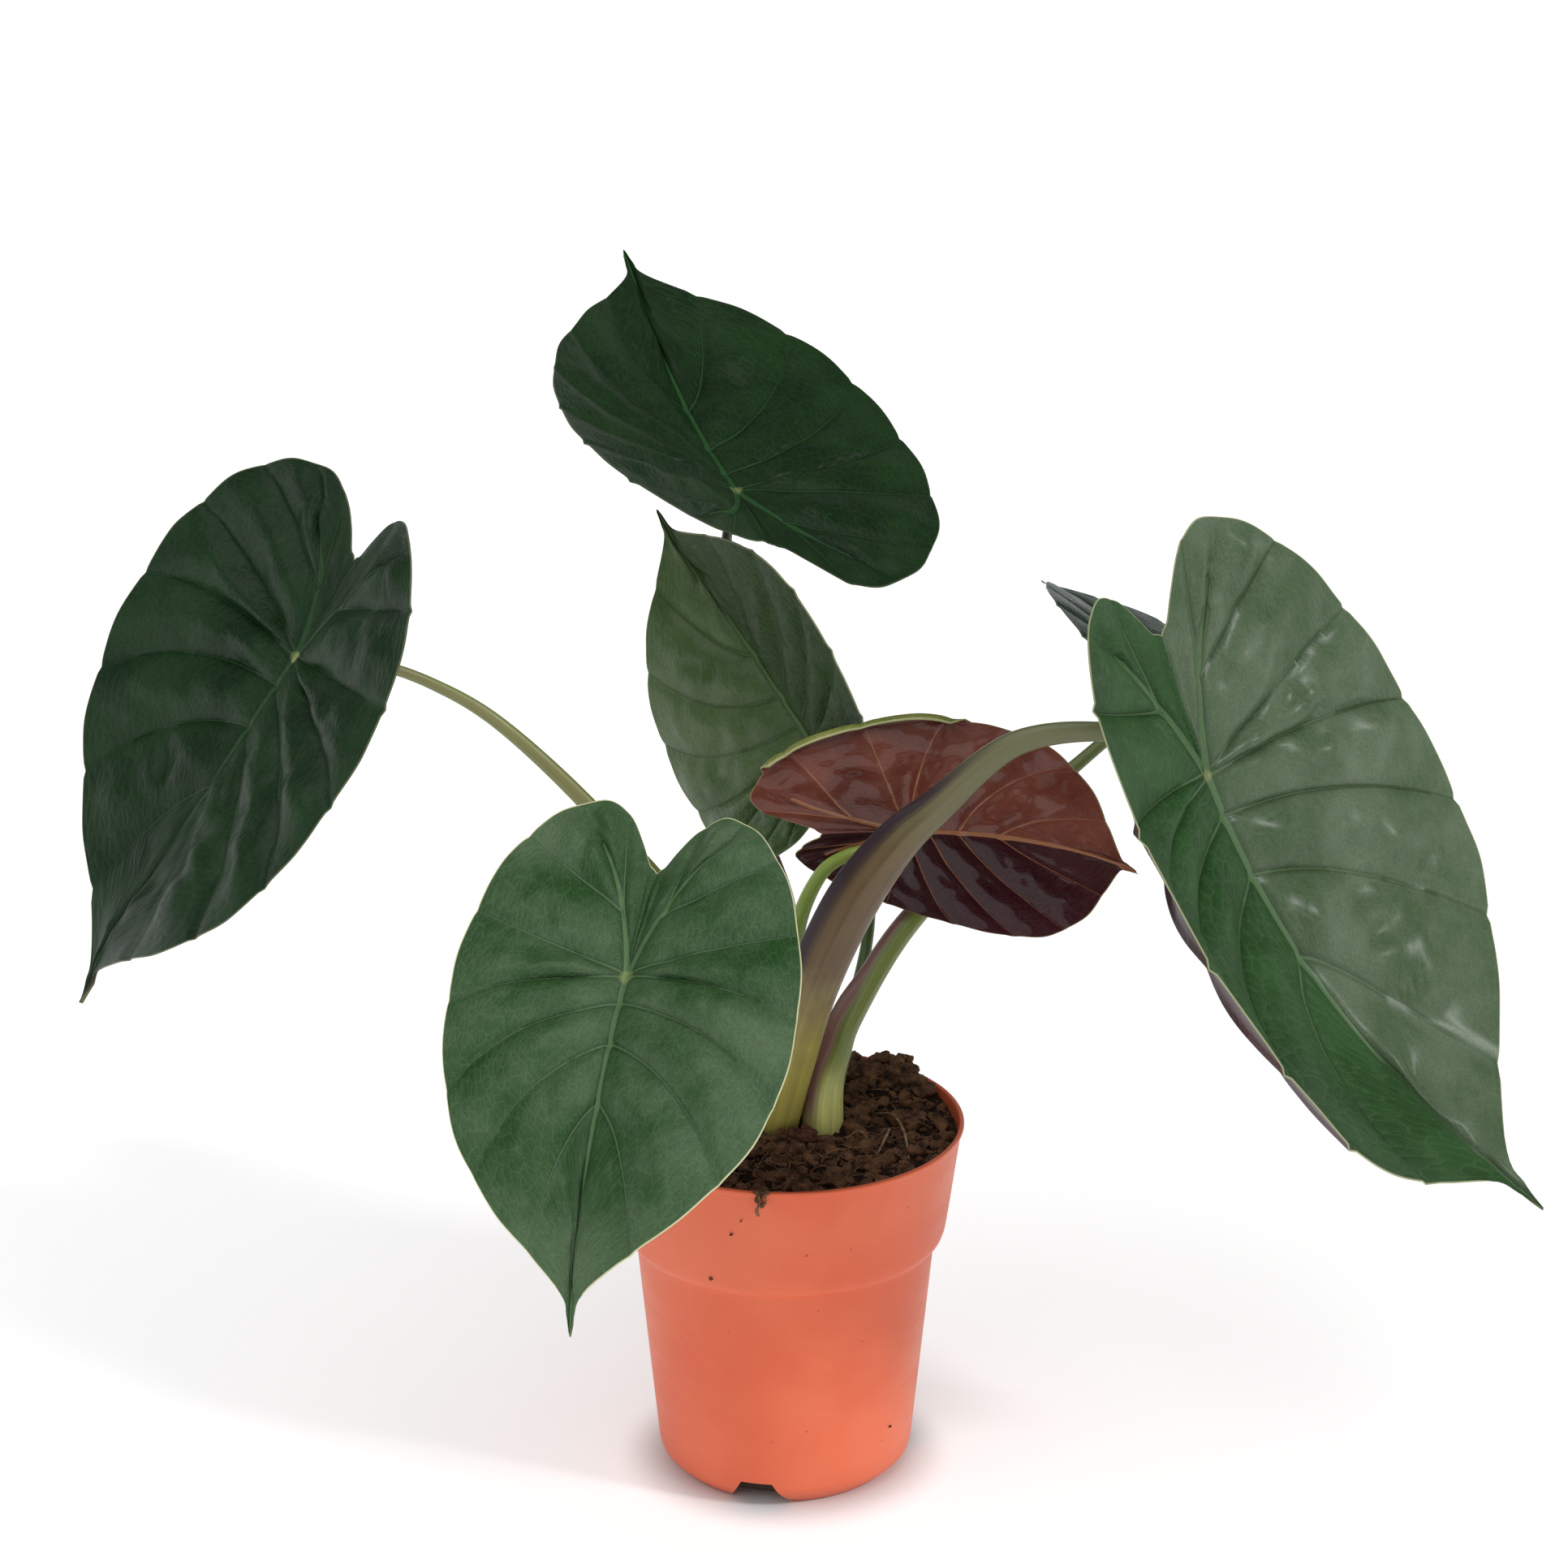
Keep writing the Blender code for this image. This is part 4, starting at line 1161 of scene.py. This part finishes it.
def make_litter():
    rng = random.Random(11)
    crumbs = crumb_models(rng)
    fibres = fibre_models(rng)
    places = [
        one_of(rng, CRUMB_SHAPES, spot[:3], spot[3])
        for spot in scatter(rng, 1500, 0.0007, 0.0050, 0.0005, 0.30)
    ]
    for _ in range(90):
        reach = 0.019 * math.sqrt(rng.random())
        angle = rng.uniform(0, 6.28)
        x = MOUND_AT[0] - 0.004 + reach * math.cos(angle)
        y = MOUND_AT[1] + 0.002 + reach * math.sin(angle)
        if math.hypot(x, y) < 0.076:
            size = rng.uniform(0.0016, 0.0042)
            place = (x, y, soil_top(x, y) + 0.4 * size)
            places.append(one_of(rng, CRUMB_SHAPES, place, size))
    for _ in range(170):
        radius, angle = rng.uniform(0.055, 0.0775), math.radians(rng.uniform(34, 88))
        x, y = radius * math.cos(angle), radius * math.sin(angle)
        size = rng.uniform(0.0018, 0.0040)
        place = (x, y, soil_top(x, y) + rng.uniform(0.3, 1.9) * size)
        places.append(one_of(rng, CRUMB_SHAPES, place, size))
    joined("peat_crumbs", crumbs, places, PEAT, "peat")
    strands = [
        one_of(rng, FIBRE_SHAPES, spot[:3], spot[3])
        for spot in scatter(rng, 1000, 0.006, 0.018, 0.0, 0.06, 0.074)
    ]
    joined("peat_fibres", fibres, strands, FIBRE, "peat")
    clod = []
    for number in range(46):
        place = (LUMP_AT[0] + rng.uniform(-0.005, 0.005), LUMP_AT[1] + rng.uniform(-0.004, 0.004),
                 SOIL_LEVEL + rng.uniform(0.0005, 0.0055))
        size = rng.uniform(0.0012, 0.0030)
        clod.append((number % CRUMB_SHAPES, turned_copy(rng, place, size)))
    make_spill(crumbs, rng)
    lump = joined("peat_clod", crumbs, clod, RED_PEAT, "peat")
    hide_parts("peat_lump")
    for model in crumbs + fibres:
        bpy.data.objects.remove(model)


# Crumbs stuck to the pot: (x offset from the middle, height, size), all on its front.
STUCK = (
    (-0.0250, 0.1520, 0.0008), (-0.0346, 0.1255, 0.0011), (-0.0170, 0.1175, 0.0006),
    (0.0500, 0.0330, 0.0009), (-0.0205, 0.1600, 0.0006), (0.0100, 0.1420, 0.0004),
)


def make_spill(crumbs, rng):
    """Crumbs on the pot's side and a tuft of roots and peat hanging over its rim."""
    places = []
    for x, height, size in STUCK:
        radius = 0.0850 - (POT_HEIGHT - height) * 0.155
        if height < 0.124:
            radius = 0.0715 - (0.1164 - height) * 0.099
        y = -math.sqrt(radius * radius - x * x)
        places.append(one_of(rng, CRUMB_SHAPES, (x, y - 0.0002, height), size))
    for step in range(22):
        fall = rng.random() ** 1.4
        spot = (-0.0105 + rng.uniform(-0.0034, 0.0034) * (1 - 0.6 * fall),
                -0.0840 - 0.0014 * rng.random(), 0.1772 - 0.0095 * fall)
        size = rng.uniform(0.0007, 0.0016)
        places.append((step % CRUMB_SHAPES, turned_copy(rng, spot, size)))
    joined("spilt_crumbs", crumbs, places, PEAT, "peat")
    for number, (start, end) in enumerate(((-0.0125, -0.0120), (-0.0098, -0.0128))):
        route = [
            (start, -0.0800, 0.1760, 0.0005), (start, -0.0852, 0.1768, 0.0005),
            (start + 0.0008, -0.0862, 0.1725, 0.0004), (end - 0.0006, -0.0860, 0.1690, 0.0004),
            (end, -0.0862, 0.1655, 0.0003),
        ]
        tuft = swept(f"hanging_root_{number}", route, 8, 6, knots=0.4)
        tuft.data.materials.append(FIBRE)
        hand_over(tuft, "peat")


def root_finish():
    made, tree, shader = finish_of("root_skin", 0.75, specular=0.3)
    where = add(tree, "TexCoord").outputs["Object"]
    patches = speckle(tree, where, 260.0, 4.0, 0.7)
    colour = blend_of(tree, fade(tree, patches, 0.35, 0.65), tone(96, 72, 52), tone(156, 128, 96))
    feed(tree, shader, Base_Color=colour)
    relief_to(tree, shader, patches, 0.6, 0.0005)
    return made


def make_roots():
    skin = root_finish()
    for name, points in ROOTS.items():
        route = []
        for number, (x, y, height) in enumerate(points):
            ends = number in (0, len(points) - 1)
            lift = -0.0005 if ends else ROOT_RADIUS + 0.0010
            radius = ROOT_RADIUS * (0.8 if ends else 1)
            route.append((x, y, soil_rest(x, y) + lift + height, radius))
        root = swept(name + "_skin", route, 12, 10, knots=0.35)
        root.data.materials.append(skin)
        hand_over(root, "root_skin", name)


make_soil()
make_litter()
make_roots()


# ---------------------------------------------------------------- studio


FLOOR_SIZE = 60
FLOOR_DROP = 0.0004
# The floor glows only beyond the pot's foot, from the first radius to the second; the dimmer floor
# under and round the foot is a painted contact shadow.
CONTACT_SHADOW_REACH = (0.052, 0.085)
CAMERA_LENS = 105.42
CAMERA_AT = (-0.0006, -2.0, 1.0617)
CAMERA_PITCH = 0.3441
# Lights: name, strength, apparent size, heading from the front and height, in degrees.
LIGHTS = (("overhead_soft", 1.45, 70, -28, 58), ("key_from_right", 1.25, 8, 66, 33))


def make_floor():
    add_plane = bpy.ops.mesh.primitive_plane_add
    floor = fresh(add_plane, "studio_floor", size=FLOOR_SIZE, location=(0, 0, -FLOOR_DROP))
    made, tree, shader = finish_of("floor_paper", 0.9, specular=0.1)
    shader.inputs["Base Color"].default_value = (0.80, 0.80, 0.80, 1)
    shader.inputs["Emission Strength"].default_value = 0.45
    where = add(tree, "TexCoord").outputs["Object"]
    reach = add(tree, "VectorMath", {"operation": "LENGTH"}, at0=where).outputs["Value"]
    # Painted contact shadow: no glow on the floor near the pot's foot.
    feed(tree, shader, Emission_Color=grey_of(tree, fade(tree, reach, *CONTACT_SHADOW_REACH)))
    floor.data.materials.append(made)


def make_sky():
    """World that is white at the horizon and dims upwards."""
    world = bpy.data.worlds.new("studio_world")
    world.use_nodes = True
    sky = world.node_tree
    direction = add(sky, "TexCoord").outputs["Generated"]
    height = add(sky, "SeparateXYZ", None, Vector=direction).outputs["Z"]
    white = grey_of(sky, fade(sky, height, 0.15, 0.32, 1.0, 0.24))
    sky.links.new(white, sky.nodes["Background"].inputs["Color"])
    bpy.context.scene.world = world


def make_lights():
    for name, strength, size, heading, height in LIGHTS:
        light = bpy.data.lights.new(name, "SUN")
        light.energy = strength
        light.angle = math.radians(size)
        lamp = bpy.data.objects.new(name, light)
        heading, height = math.radians(heading), math.radians(height)
        away = Vector((
            math.sin(heading) * math.cos(height),
            -math.cos(heading) * math.cos(height),
            math.sin(height),
        ))
        lamp.rotation_euler = away.to_track_quat("Z", "Y").to_euler()
        bpy.context.scene.collection.objects.link(lamp)


def make_camera():
    eye = bpy.data.cameras.new("camera")
    eye.lens = CAMERA_LENS
    eye.sensor_width = 36
    camera = bpy.data.objects.new("camera", eye)
    camera.location = CAMERA_AT
    camera.rotation_euler = (math.pi / 2 - CAMERA_PITCH, 0, 0)
    bpy.context.scene.collection.objects.link(camera)
    bpy.context.scene.camera = camera


make_floor()
bpy.context.scene.view_settings.view_transform = "Standard"
make_sky()
make_lights()
make_camera()
